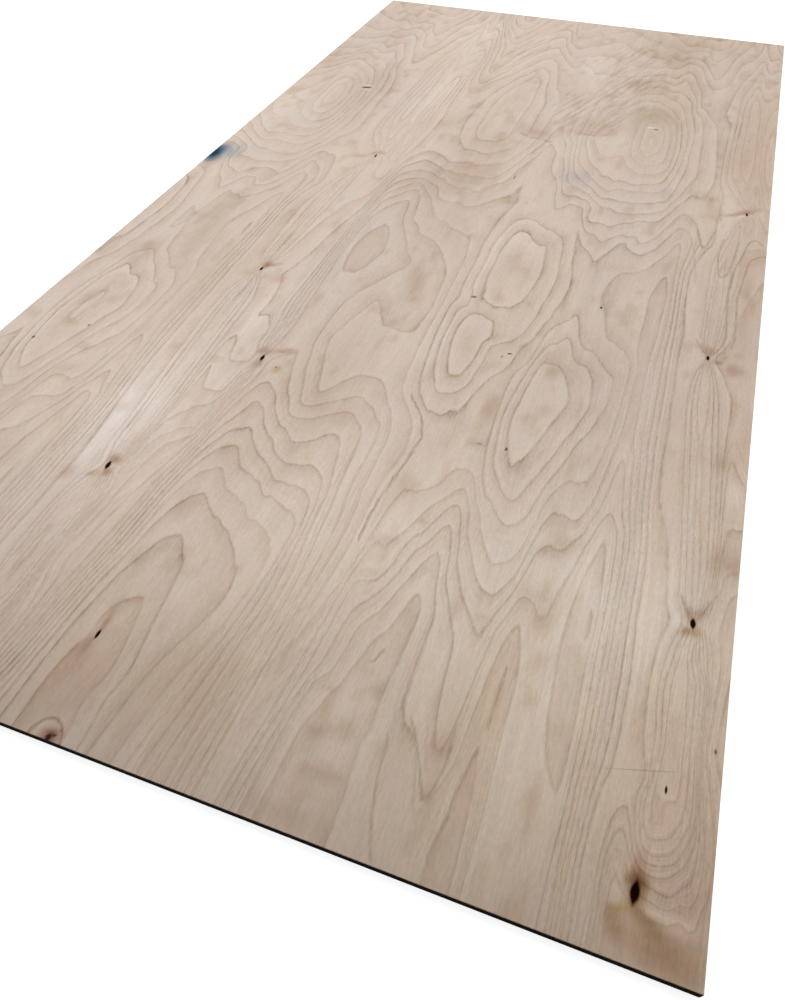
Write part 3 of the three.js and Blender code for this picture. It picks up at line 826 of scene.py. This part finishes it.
# Where the knife tore the fibres across the rings: (across, along, half width, half length, strength).
tornSpots = [
    (215, 800, 80, 300, 1), (120, 560, 60, 130, 0.9), (-62, 1010, 30, 90, 1), (-82, 880, 30, 100, 1),
    (-104, 730, 27, 100, 0.9), (-114, 610, 22, 70, 0.7), (-165, -560, 26, 130, 0.45),
    (-225, -900, 60, 110, 0.3), (100, -1040, 60, 110, 0.4),
]

# Fine marks that the material draws: (across, along, half width, half length, lean, strength, colour).
fineMarks = [
    (223, -424, 4.4, 1.9, 19, 1, "#241911"), (213, -435, 1.8, 3.4, -14, 0.55, "#4c3b2c"),
    (342, -246, 2.6, 3.2, 30, 1, "#241911"), (-545, -648, 3, 4, 0, 0.8, "#4a3426"),
    (-477, -589, 2.6, 3.4, 0, 0.7, "#4a3426"), (275, -638, 2.2, 4.2, 0, 0.8, "#3a2a1e"),
    (-124, -583, 2.2, 2.2, 0, 0.7, "#4a3426"), (-74.5, -1216.5, 3.6, 4.4, 0, 0.9, "#2c1c15"),
    (-70, -1213, 3.4, 2, 20, 0.7, "#3c2820"), (235, -640, 5, 2, 0, 0.4, "#5a4636"),
    (601, -996, 1.8, 3.4, 0, 0.7, "#4a3426"), (-421, 536.5, 14, 3.4, 18, 0.9, "#f4e9dc"),
    (-411, 512.5, 7, 3, 10, 0.8, "#efe2d3"), (-419, 524, 15, 5.5, 18, 1, "#5c4e40"),
    (322, 527, 11, 5, 15, 0.9, "#f2e8da"), (335, 520, 7, 3, 15, 0.9, "#6f5b49"),
    (75, 172, 2.2, 12, 0, 0.6, "#7a6553"), (79.5, 170, 2, 10, 0, 0.5, "#efe4d4"),
    (121, -289, 6, 4, 19, 0.8, "#7a5f4c"), (40, 389, 14, 5.5, -36, 0.3, "#967c6b"),
    (70, 377, 16, 4.5, 4, 0.32, "#9a7c6c"), (103, 371, 17, 5, -18, 0.36, "#967c6b"),
    (185, 437, 30, 5.5, 2, 0.25, "#a08a7c"), (226, 450, 18, 5.5, 36, 0.22, "#a08a7c"),
    (530, -1041.5, 43, 0.8, 16, 0.28, "#6f5b49"),
]


# Multiplies the wood's colour by each spot's tone, with an edge that wanders.
def paintSpots(painted, across, along, spots, wander):
    for tone, places in spots.items():
        for x, y, halfWidth, halfLength, lean, strength in places:
            turn = math.radians(lean)
            dx, dy = across - x, along - y
            u = (dx * math.cos(turn) + dy * math.sin(turn)) / halfWidth
            v = (dy * math.cos(turn) - dx * math.sin(turn)) / halfLength
            reach = np.hypot(u, v) * (1 + wander)
            fall = strength * np.exp(-0.9 * np.maximum(reach, 0) ** 2.4)
            painted *= np.array(tones[tone])[None, :] ** fall[:, None]


# How far a spot without a lean reaches: 1 in its middle, falling to nothing outside.
def spotFall(across, along, x, y, halfWidth, halfLength):
    return np.exp(-0.9 * np.hypot((across - x) / halfWidth, (along - y) / halfLength) ** 3)


# The hollows have brown rims, partly the knot's own colour and partly painted shade on their walls, and
# painted shade makes them near black inside. A reach is 1 at the rim.
hollows = {"rimTone": (0.3, 0.2, 0.14), "rimFrom": 1.32, "holeShadeTone": (0.06, 0.05, 0.05), "deepFrom": 0.99}


def paintShadeInHollows(painted, across, along):
    rimTone, holeShadeTone = np.array(hollows["rimTone"]), np.array(hollows["holeShadeTone"])
    for x, y, width, length, lean in openKnots:
        turn = math.radians(lean)
        dx, dy = across - x, along - y
        u, v = dx * math.cos(turn) + dy * math.sin(turn), dy * math.cos(turn) - dx * math.sin(turn)
        reach = lensReach(u, v, width, length)
        rim = np.clip((hollows["rimFrom"] - reach) / 0.4, 0, 1)
        # Painted shade: near black inside each hollow.
        deep = np.clip((hollows["deepFrom"] - reach) / 0.28, 0, 1)
        painted *= rimTone[None, :] ** rim[:, None] * holeShadeTone[None, :] ** deep[:, None]


# Cloudy shades of the wood, with olive mottling towards the near end and soft brown blotches where the
# knife ran flat along a ring. Each is in red, green and blue.
shades = {
    "cloud": (0.02, 0.02, 0.02),
    "broadCloud": (0.012, 0, -0.03),
    "mottle": (0.022, 0.03, 0.042),
    "blotch": (0.88, 0.825, 0.76),    # multiplies the colour
}


def clouds(across, along, slope):
    broad, middling, narrow = [hills(across, along, name) for name in ("broadCloud", "cloud", "narrowCloud")]
    tint = 1 + (middling + narrow)[:, None] * np.array(shades["cloud"])
    tint *= 1 + broad[:, None] * np.array(shades["broadCloud"])
    near = np.clip((-500 - along) / 400, 0, 1)
    mottle = hills(across, along, "mottle") + 0.5 * hills(across, along, "broadMottle")
    tint *= 1 + (np.clip(mottle, -1, 1) * near)[:, None] * np.array(shades["mottle"])
    flat = np.clip((0.05 - slope) / 0.035, 0, 1)
    blotch = hills(across, along, "blotch") + 0.6 * hills(across, along, "broadBlotch") - 0.25
    tint *= np.array(shades["blotch"])[None, :] ** (np.clip(blotch, 0, 1) * flat)[:, None]
    return tint


# What each point of the mesh tells the material: the years of growth there, how fast they change, how
# strongly their lines show, the torn fibres, the strokes and the tint.
def readFigure(points):
    across, along = points[:, 0], points[:, 1]
    onBack = points[:, 2] < sheet["thickness"] / 2
    step, backStep = 2.0, 3.0
    drawn = drawnIn(across, along)
    slopeAcross = (ringCount(drawnIn(across + step, along), along)
                   - ringCount(drawnIn(across - step, along), along)) / (2 * step)
    slopeAlong = (ringCount(drawn, along + step) - ringCount(drawn, along - step)) / (2 * step)
    backRise = backRings(across + backStep, along) - backRings(across - backStep, along)
    backSlope = abs(backRise) / (2 * backStep)
    rings = np.where(onBack, backRings(across, along), brokenRings(across, along))
    faceSlope = np.clip(np.hypot(slopeAcross, slopeAlong), sheet["flattest"], sheet["steepest"])
    slope = np.where(onBack, np.clip(backSlope, sheet["flattest"], sheet["steepest"]), faceSlope)

    # The lines are a little stronger on the near half.
    fade = sheet["lineStrength"] * np.clip(0.8 + 0.35 * hills(across, along, "lineStrength"), 0.35, 1.1)
    fade *= 0.9 - 0.1 * np.tanh((along + 100) / 120)
    for x, y, halfWidth, halfLength, share in faintSpots:
        fade *= 1 - (1 - share) * spotFall(across, along, x, y, halfWidth, halfLength)
    torn = np.zeros_like(across)
    for x, y, halfWidth, halfLength, strength in tornSpots:
        torn = np.maximum(torn, strength * spotFall(across, along, x, y, halfWidth, halfLength))
    fade *= 1 - tornFibres["hideLines"] * torn

    wander = 0.3 * hills(across, along, "spotEdge")
    painted = np.ones((len(points), 3))
    paintSpots(painted, across, along, toneSpots, wander)
    paintSpots(painted, across, along, knotSpots, wander * 0.6)
    paintShadeInHollows(painted, across, along)
    tint = clouds(across, along, slope)
    tint = np.where(onBack[:, None], tint, tint * painted)
    gap, show = strokeGaps(across, along)
    told = {"ring": rings, "slope": slope, "fade": fade, "strokeGap": gap, "strokeShow": show * ~onBack,
            "torn": torn * ~onBack}
    return told, tint


# The veneer's patterns: size across and along the fibres in mm, detail, roughness and shift. Birch fibres
# and pores are about 0.1 mm wide, too fine to show, so they are drawn as coarse as they need to show.
patterns = {
    "ragged": (10, 80, 3, 0.6, 0), "glow": (34, 60, 1, 0.5, 61), "broken": (2.6, 14, 2, 0.6, 13),
    "split": (7, 30, 2, 0.6, 53), "streak": (4, 200, 3, 0.6, 23), "fibre": (1.5, 20, 3, 0.75, 29),
    "dash": (1.3, 8, 1, 0.5, 31), "cloud": (11, 42, 2, 0.6, 41), "pore": (3, 7, 2, 0.6, 37),
}

# How the years' lines and tones look. A pair is the least and the most, and widths are in mm.
lines = {
    "ragged": (0.16, 0.34),        # years, from wide years to crowded ones
    "reach": 0.32,                 # years of dense wood behind a line
    "longestReach": 14,
    "slowSide": (3.1, 5.6),        # from narrow years to wide ones
    "sharpSide": 2.8,
    "core": 0.48,                  # strength of the line itself beside the brown behind it
    "behind": (0.12, 0.8),
    "strongYears": (0.6, 1.2),
    "broken": (0.55, 1.3),
    "split": (0.9, 3.6, 1.6),      # strength, width and wobble of a split line
    "seasonDepth": (0.15, 1),
    "yearStart": (1.02, 1.03, 1.035, 1),
    "yearEnd": (0.985, 0.945, 0.925, 1),
    "coolYear": (1.012, 1.022, 1.03, 1),
    "warmYear": (0.988, 0.978, 0.97, 1),
}

# How much each fibre pattern lightens and darkens the wood, and the ripples of torn fibres in mm and degrees.
fibres = {"lesser": (-0.015, -0.085), "streak": 0.035, "fibre": 0.07, "dash": -0.13, "pore": 0.05}
tornFibres = {"across": 9, "along": 150, "lean": 21, "tone": (-0.19, 0.06), "hideLines": 0.72}


def grain(tree, mm, pattern):
    across, along, detail, rough, shift = patterns[pattern]
    scaled = add(tree, "VectorMath", "MULTIPLY_ADD",
                 [mm, (1 / across, 1 / along, 1 / across), (shift, shift * 0.7, shift * 1.3)])
    return add(tree, "TexNoise", {}, {"Vector": scaled, "Scale": 1, "Detail": detail, "Roughness": rough})


# Lines where a ring splits, drawn from their own gap.
def splitLines(tree, mm, told, broken):
    strength, width, wobbles = lines["split"]
    wobble = add(tree, "MapRange", {}, [grain(tree, mm, "split"), 0.25, 0.75, -wobbles, wobbles])
    gap = add(tree, "Math", "ADD", [told["strokeGap"], wobble])
    gap = add(tree, "Math", "ABSOLUTE", [gap])
    split = add(tree, "MapRange", {"interpolation_type": "SMOOTHSTEP"}, [gap, 0, width, strength, 0])
    for share in (told["strokeShow"], broken):
        split = add(tree, "Math", "MULTIPLY", [split, share])
    return split


# Each year closes with a line that is sharp on one side, with the brown of the dense wood behind it. The
# first result is the years with their fine raggedness, and the second is how far through its year each
# place is.
def ringLines(tree, mm, told):
    slope = told["slope"]
    reach = add(tree, "MapRange", {}, [slope, sheet["flattest"], 0.09, *lines["ragged"]])
    years = add(tree, "Math", "MULTIPLY_ADD", [grain(tree, mm, "ragged"), reach, told["ring"]])
    through = add(tree, "Math", "FRACT", [years])
    # Distance to the line, in mm, on the slow side and on the sharp side.
    left = add(tree, "Math", "SUBTRACT", [1, through])
    slowGap = add(tree, "Math", "DIVIDE", [left, slope])
    sharpGap = add(tree, "Math", "DIVIDE", [through, slope])
    # Wide years end in a wider, softer line than narrow ones.
    reach = add(tree, "Math", "DIVIDE", [lines["reach"], slope])
    reach = add(tree, "Math", "MINIMUM", [reach, lines["longestReach"]])
    width = add(tree, "MapRange", {}, [reach, 3, 11, *lines["slowSide"]])
    slow = add(tree, "MapRange", {"interpolation_type": "SMOOTHSTEP"}, [slowGap, 0, width, 1, 0])
    sharp = add(tree, "MapRange", {"interpolation_type": "SMOOTHSTEP"},
                [sharpGap, 0, lines["sharpSide"], 1, 0])
    core = add(tree, "Math", "MAXIMUM", [slow, sharp])
    # The brown behind a line is broad in some places and missing in others.
    glow = add(tree, "Math", "MULTIPLY", [slowGap, -1])
    glow = add(tree, "Math", "DIVIDE", [glow, reach])
    glow = add(tree, "Math", "EXPONENT", [glow])
    behind = add(tree, "MapRange", {}, [grain(tree, mm, "glow"), 0.33, 0.67, *lines["behind"]])
    glow = add(tree, "Math", "MULTIPLY", [glow, behind])
    line = add(tree, "Math", "MULTIPLY_ADD", [core, lines["core"], glow])
    # Some years close with a strong line and some with a faint one, and the fibres break it up.
    closing = add(tree, "Math", "ADD", [years, 0.7])
    closing = add(tree, "Math", "FLOOR", [closing])
    closing = add(tree, "TexWhiteNoise", {"noise_dimensions": "1D"}, {"W": closing})
    closing = add(tree, "MapRange", {}, [closing.outputs["Value"], 0, 1, *lines["strongYears"]])
    broken = add(tree, "MapRange", {}, [grain(tree, mm, "broken"), 0.3, 0.7, *lines["broken"]])
    for share in (told["fade"], closing, broken):
        line = add(tree, "Math", "MULTIPLY", [line, share])
    line = add(tree, "Math", "MAXIMUM", [line, splitLines(tree, mm, told, broken)])
    return years, through, line


# Each year starts pale and closes pinker and denser, some years more than others.
def yearTones(tree, years, through):
    year = add(tree, "Math", "FLOOR", [years])
    year = add(tree, "TexWhiteNoise", {"noise_dimensions": "1D"}, {"W": year})
    season = add(tree, "MapRange", {"interpolation_type": "SMOOTHSTEP"}, [through, 0, 0.95, 0, 1])
    depth = add(tree, "MapRange", {}, [year.outputs["Value"], 0, 1, *lines["seasonDepth"]])
    season = add(tree, "Math", "MULTIPLY", [season, depth])
    seasonTone = add(tree, "Mix", {"data_type": "RGBA"},
                     {0: season, 6: lines["yearStart"], 7: lines["yearEnd"]})
    yearTone = add(tree, "Mix", {"data_type": "RGBA"},
                   {0: year.outputs["Color"], 6: lines["warmYear"], 7: lines["coolYear"]})
    return seasonTone.outputs[2], yearTone.outputs[2]


# Lighter and darker fibres. The second result is their relief.
def fibreTone(tree, mm, years, told):
    # Lesser lines within a year, which follow the same rings and tell more where the years crowd.
    within = add(tree, "Math", "MULTIPLY", [years, 5])
    within = add(tree, "TexNoise", {"noise_dimensions": "1D"},
                 {"W": within, "Scale": 1, "Detail": 2, "Roughness": 0.6})
    lesser = add(tree, "MapRange", {}, [within, 0.36, 0.64, -0.6, 1])
    crowded = add(tree, "MapRange", {}, [told["slope"], 0.02, 0.12, 0, 1])
    weight = add(tree, "MapRange", {}, [crowded, 0, 1, *fibres["lesser"]])
    lesser = add(tree, "Math", "MULTIPLY", [lesser, weight])
    streak = add(tree, "MapRange", {},
                 [grain(tree, mm, "streak"), 0.3, 0.7, -fibres["streak"], fibres["streak"]])
    fibre = add(tree, "MapRange", {},
                [grain(tree, mm, "fibre"), 0.25, 0.75, -fibres["fibre"], fibres["fibre"]])
    # Where the years crowd, the fibres stand out and are flecked with short dark dashes.
    dash = add(tree, "MapRange", {}, [grain(tree, mm, "dash"), 0.55, 0.72, 0, fibres["dash"]])
    crowd = add(tree, "Math", "MULTIPLY_ADD", [fibre, 0.6, dash])
    crowd = add(tree, "Math", "MULTIPLY", [crowded, crowd])
    # Torn fibres lean over the rings in long ripples.
    leaned = add(tree, "VectorRotate", {"rotation_type": "Z_AXIS"},
                 {"Vector": mm, "Angle": math.radians(tornFibres["lean"])})
    leaned = add(tree, "VectorMath", "MULTIPLY",
                 [leaned, (1 / tornFibres["across"], 1 / tornFibres["along"], 0)])
    ripple = add(tree, "TexNoise", {}, {"Vector": leaned, "Scale": 1, "Detail": 2, "Roughness": 0.6})
    ripple = add(tree, "MapRange", {}, [ripple, 0.34, 0.54, *tornFibres["tone"]])
    ripple = add(tree, "Math", "MULTIPLY", [ripple, told["torn"]])
    pores = add(tree, "MapRange", {}, [grain(tree, mm, "pore"), 0.28, 0.72, -fibres["pore"], fibres["pore"]])
    tone = 1
    for share in (lesser, streak, fibre, crowd, ripple, pores):
        tone = add(tree, "Math", "ADD", [tone, share])
    return tone, fibre


# Scars, specks and the staple's marks, on the upper face only.
def drawFineMarks(tree, mm, colour):
    height = add(tree, "SeparateXYZ", {}, [mm]).outputs["Z"]
    upper = add(tree, "Math", "GREATER_THAN", [height, sheet["thickness"] / 2])
    for across, along, halfWidth, halfLength, lean, strength, shade in fineMarks:
        away = add(tree, "VectorMath", "SUBTRACT", [mm, (across, along, 0)])
        turned = add(tree, "VectorRotate", {"rotation_type": "Z_AXIS"},
                     {"Vector": away, "Angle": -math.radians(lean)})
        scaled = add(tree, "VectorMath", "MULTIPLY", [turned, (1 / halfWidth, 1 / halfLength, 0)])
        reach = add(tree, "VectorMath", "LENGTH", [scaled]).outputs["Value"]
        mask = add(tree, "MapRange", {"interpolation_type": "SMOOTHSTEP"}, [reach, 0.55, 1.15, strength, 0])
        mask = add(tree, "Math", "MULTIPLY", [mask, upper])
        colour = add(tree, "Mix", {"data_type": "RGBA"}, {0: mask, 6: colour, 7: linear(shade)}).outputs[2]
    return colour


# Birch veneer, peeled round the log and sanded: a pale satin face on which each year's dense wood shows as
# a thin brown line, and the fibres run along the sheet.
def peeledBirch():
    material, tree = newMaterial("BirchVeneerPeeledAndSanded")
    place = add(tree, "TexCoord").outputs["Object"]
    mm = add(tree, "VectorMath", "SCALE", {0: place, "Scale": 1000})
    told = {name: add(tree, "Attribute", {"attribute_name": name}).outputs["Fac"]
            for name in ("ring", "slope", "fade", "torn", "strokeGap", "strokeShow")}
    tint = add(tree, "Attribute", {"attribute_name": "tint"}).outputs["Color"]
    years, through, line = ringLines(tree, mm, told)
    tone, fibre = fibreTone(tree, mm, years, told)
    # Faint pink and grey-green clouding.
    clouding = add(tree, "VectorMath", "MULTIPLY_ADD",
                   [grain(tree, mm, "cloud").outputs["Color"], (0.06, 0.07, 0.09), (0.97, 0.965, 0.955)])
    colour = add(tree, "Mix", {"data_type": "RGBA"},
                 {0: line, 6: linear(sheet["pale"]), 7: linear(sheet["late"])}).outputs[2]
    colour = add(tree, "VectorMath", "SCALE", {0: colour, "Scale": tone})
    for share in (*yearTones(tree, years, through), clouding, tint):
        colour = add(tree, "VectorMath", "MULTIPLY", [colour, share])
    colour = drawFineMarks(tree, mm, colour.outputs[0])
    # Dark hollows and stains give back little shine.
    sheen = add(tree, "SeparateXYZ", {}, [tint]).outputs["Y"]
    sheen = add(tree, "Math", "MULTIPLY", [sheen, sheet["sheen"]])
    bump = add(tree, "Bump", {}, {"Strength": sheet["relief"], "Distance": 0.0004, "Height": fibre})
    shader = add(tree, "BsdfPrincipled", {}, {"Base Color": colour, "Roughness": sheet["roughness"],
                                               "Normal": bump, "IOR": 1.45, "Specular IOR Level": sheen})
    add(tree, "OutputMaterial", {}, [shader])
    return material


# Sawn ply ends, painted near black and dull as the deep shade along the sheet's edges, with the plies just
# showing as thin bands.
def paintedShadeEdges():
    material, tree = newMaterial("BirchPliesSawnPaintedShade")
    place = add(tree, "TexCoord").outputs["Object"]
    height = add(tree, "SeparateXYZ", {}, [place]).outputs["Z"]
    ply = add(tree, "Math", "MULTIPLY", [height, 1000 / sheet["thickness"] * sheet["plyCount"]])
    # Every other ply shows its end grain, a little less dark in the painted shade.
    turned = add(tree, "Math", "MODULO", [add(tree, "Math", "FLOOR", [ply]), 2])
    glueLine = add(tree, "Math", "PINGPONG", [ply, 0.5])
    glueLine = add(tree, "MapRange", {}, [glueLine, 0.06, 0.12, 1, 0])
    saw = add(tree, "TexNoise", {}, {"Vector": place, "Scale": 1000 / sheet["sawMarks"], "Detail": 3})
    least, more = sheet["endGrain"]
    amount = add(tree, "Math", "MULTIPLY_ADD", [turned, more, least])
    amount = add(tree, "Math", "MULTIPLY", [amount, saw])
    # Painted shade: the edge's colour runs from near black to very dark brown.
    colour = add(tree, "Mix", {"data_type": "RGBA"},
                 {0: amount, 6: linear(sheet["edgeShadeDark"]), 7: linear(sheet["edgeShadeLight"])}).outputs[2]
    colour = add(tree, "Mix", {"data_type": "RGBA"},
                 {0: glueLine, 6: colour, 7: linear(sheet["glue"])}).outputs[2]
    bump = add(tree, "Bump", {}, {"Strength": 0.3, "Distance": 0.0003, "Height": saw})
    shader = add(tree, "BsdfPrincipled", {}, {"Base Color": colour, "Roughness": sheet["edgeRoughness"],
                                               "Normal": bump, "Specular IOR Level": 0.02})
    add(tree, "OutputMaterial", {}, [shader])
    return material


# The map for the bake, as shares of the picture: where each part starts and how much it fills. The face
# fills the upper part, the back lies under it, and the four edges run in thin strips below.
bakeMap = {
    "run": (0.008, 0.984),
    "face": (0.325, 0.665),
    "back": (0.095, 0.215),
    "longEdges": (0.008, 0.017),
    "nextLongEdge": 0.027,
    "endEdges": (0.062, 0.017),
    "endRun": (0.008, 0.484),
    "nextEnd": 0.5,
}


def layBakeMap(mesh, points, faces, kinds):
    corner = np.empty(len(mesh.loops), np.int32)
    mesh.loops.foreach_get("vertex_index", corner)
    owner = np.repeat(np.arange(len(faces)), [len(f) for f in faces])
    kind = np.array(kinds)[owner]
    middle = np.array([points[list(f)].mean(0) for f in faces])[owner]
    acrossShare = points[corner, 0] / sheet["width"] + 0.5
    alongShare = points[corner, 1] / sheet["length"] + 0.5
    upShare = points[corner, 2] / sheet["thickness"]
    start, size = bakeMap["run"]
    u = start + size * alongShare
    faceStart, faceSize = bakeMap["face"]
    backStart, backSize = bakeMap["back"]
    v = np.where(kind != "back", faceStart + faceSize * acrossShare, backStart + backSize * acrossShare)
    nearEdge = 0.6    # mm, to tell which edge a cell belongs to
    halfX, halfY = sheet["width"] / 2 - nearEdge, sheet["length"] / 2 - nearEdge
    start, size = bakeMap["longEdges"]
    for side, test in enumerate((middle[:, 0] > halfX, middle[:, 0] < -halfX)):
        here = test & (kind == "edge")
        v[here] = start + bakeMap["nextLongEdge"] * side + size * upShare[here]
    start, size = bakeMap["endEdges"]
    runStart, runSize = bakeMap["endRun"]
    for side, test in enumerate((middle[:, 1] > halfY, middle[:, 1] < -halfY)):
        here = test & (kind == "edge")
        u[here] = runStart + bakeMap["nextEnd"] * side + runSize * acrossShare[here]
        v[here] = start + size * upShare[here]
    layer = mesh.uv_layers.new(name="OFBake")
    layer.data.foreach_set("uv", np.column_stack([u, v]).astype(np.float32).ravel())


def buildSheet():
    points, faces, kinds = sheetMesh()
    print("laid out the sheet:", len(points), "points,", len(faces), "faces")
    told, tint = readFigure(points)
    print("figured the growth rings")
    mesh = bpy.data.meshes.new("sheet")
    mesh.from_pydata((points / 1000).tolist(), [], faces)
    for name, values in told.items():
        mesh.attributes.new(name, "FLOAT", "POINT").data.foreach_set("value", values.astype(np.float32))
    opaque = np.column_stack([tint, np.ones(len(tint))]).astype(np.float32)
    mesh.attributes.new("tint", "FLOAT_COLOR", "POINT").data.foreach_set("color", opaque.ravel())
    mesh.polygons.foreach_set("material_index", [int(kind == "edge") for kind in kinds])
    mesh.materials.append(peeledBirch())
    mesh.materials.append(paintedShadeEdges())
    layBakeMap(mesh, points, faces, kinds)
    mesh.update()
    piece = bpy.data.objects.new("birch_plywood_sheet", mesh)
    bpy.context.collection.objects.link(piece)
    return piece


piece = buildSheet()
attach(piece, "root")
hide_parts("plywood_sheet")
print("built the sheet")


# One flat panel of the stage, in metres.
def panel(name, corners, material):
    mesh = bpy.data.meshes.new(name)
    mesh.from_pydata(corners, [], [(0, 1, 2, 3)])
    mesh.materials.append(material)
    holder = bpy.data.objects.new(name, mesh)
    bpy.context.collection.objects.link(holder)
    return holder


# A plain pale floor. The camera sees it white, and the sheet's shadow still falls on it.
floor = {"half": 30, "drop": 0.0005, "colour": "#e6e6e4", "whiteLift": 0.86}


def layFloor():
    material, tree = newMaterial("PalePaintedFloor")
    ray = add(tree, "LightPath")
    lift = add(tree, "Math", "MAXIMUM", [ray.outputs["Is Camera Ray"], ray.outputs["Is Glossy Ray"]])
    lift = add(tree, "Math", "MULTIPLY", [lift, floor["whiteLift"]])
    plain = add(tree, "BsdfDiffuse", {}, [linear(floor["colour"])])
    glowing = add(tree, "Emission", {}, {"Color": (1, 1, 1, 1), "Strength": lift})
    add(tree, "OutputMaterial", {}, [add(tree, "AddShader", {}, [plain, glowing])])
    half = floor["half"]
    slab = panel("floor", [(-half, -half, 0), (half, -half, 0), (half, half, 0), (-half, half, 0)], material)
    slab.location.z = -floor["drop"]


# A brown card stands off the near end and holds back the light there, as whoever stands at that end does.
card = {"left": -1.2, "right": 1.5, "along": -1.245, "height": 0.24, "colour": "#4a3a2c"}


def standCard():
    material, tree = newMaterial("BrownCard")
    add(tree, "OutputMaterial", {}, [add(tree, "BsdfDiffuse", {}, [linear(card["colour"])])])
    left, right, along, height = card["left"], card["right"], card["along"], card["height"]
    corners = [(left, along, 0), (right, along, 0), (right, along, height), (left, along, height)]
    upright = panel("card", corners, material)
    upright.visible_camera = upright.visible_glossy = False


# A broad sky and one soft window.
sky = {"colour": (0.95, 0.97, 1, 1), "strength": 0.52}
window = {
    "place": (-1.4, 1.05, 3.2),
    "aim": (-0.1, 0.2, 0),
    "size": 2.4,
    "power": 52,
    "colour": (1, 0.985, 0.965),
}


def lightStudio():
    world = bpy.data.worlds.new("studio")
    world.use_nodes = True
    world.node_tree.nodes.clear()
    glow = add(world.node_tree, "Background", {}, [sky["colour"], sky["strength"]])
    add(world.node_tree, "OutputWorld", {}, [glow])
    bpy.context.scene.world = world
    lamp = bpy.data.lights.new("window", "AREA")
    lamp.shape, lamp.size = "SQUARE", window["size"]
    lamp.energy, lamp.color = window["power"], window["colour"]
    holder = bpy.data.objects.new("window", lamp)
    holder.location = window["place"]
    x, y, z = [there - here for there, here in zip(window["aim"], window["place"])]
    holder.rotation_euler = (math.atan2(math.hypot(x, y), -z), 0, math.atan2(x, -y) + math.pi)
    bpy.context.collection.objects.link(holder)


# The camera looks down along the sheet from above its near end. Lengths are metres, and the lens is in mm.
view = {
    "lens": 26.22,
    "sensor": 36,
    "shift": -0.0316,
    "place": (0.4057, -1.3772, 0.7741),
    "right": (0.94368, 0.33084, 0.00260),
    "down": (0.25389, -0.71913, -0.64683),
    "forward": (-0.21212, 0.61106, -0.76263),
}


def placeCamera():
    camera = bpy.data.cameras.new("camera")
    camera.lens, camera.sensor_width, camera.sensor_fit = view["lens"], view["sensor"], "AUTO"
    camera.shift_x = view["shift"]
    camera.clip_start, camera.clip_end = 0.01, 100
    eye = bpy.data.objects.new("camera", camera)
    rows = [(r, -d, -f, p) for r, d, f, p in zip(view["right"], view["down"], view["forward"], view["place"])]
    eye.matrix_world = mathutils.Matrix(rows + [(0, 0, 0, 1)])
    bpy.context.collection.objects.link(eye)
    bpy.context.scene.camera = eye
    bpy.context.scene.view_settings.view_transform = "Standard"


layFloor()
lightStudio()
standCard()
placeCamera()
print("set the stage")
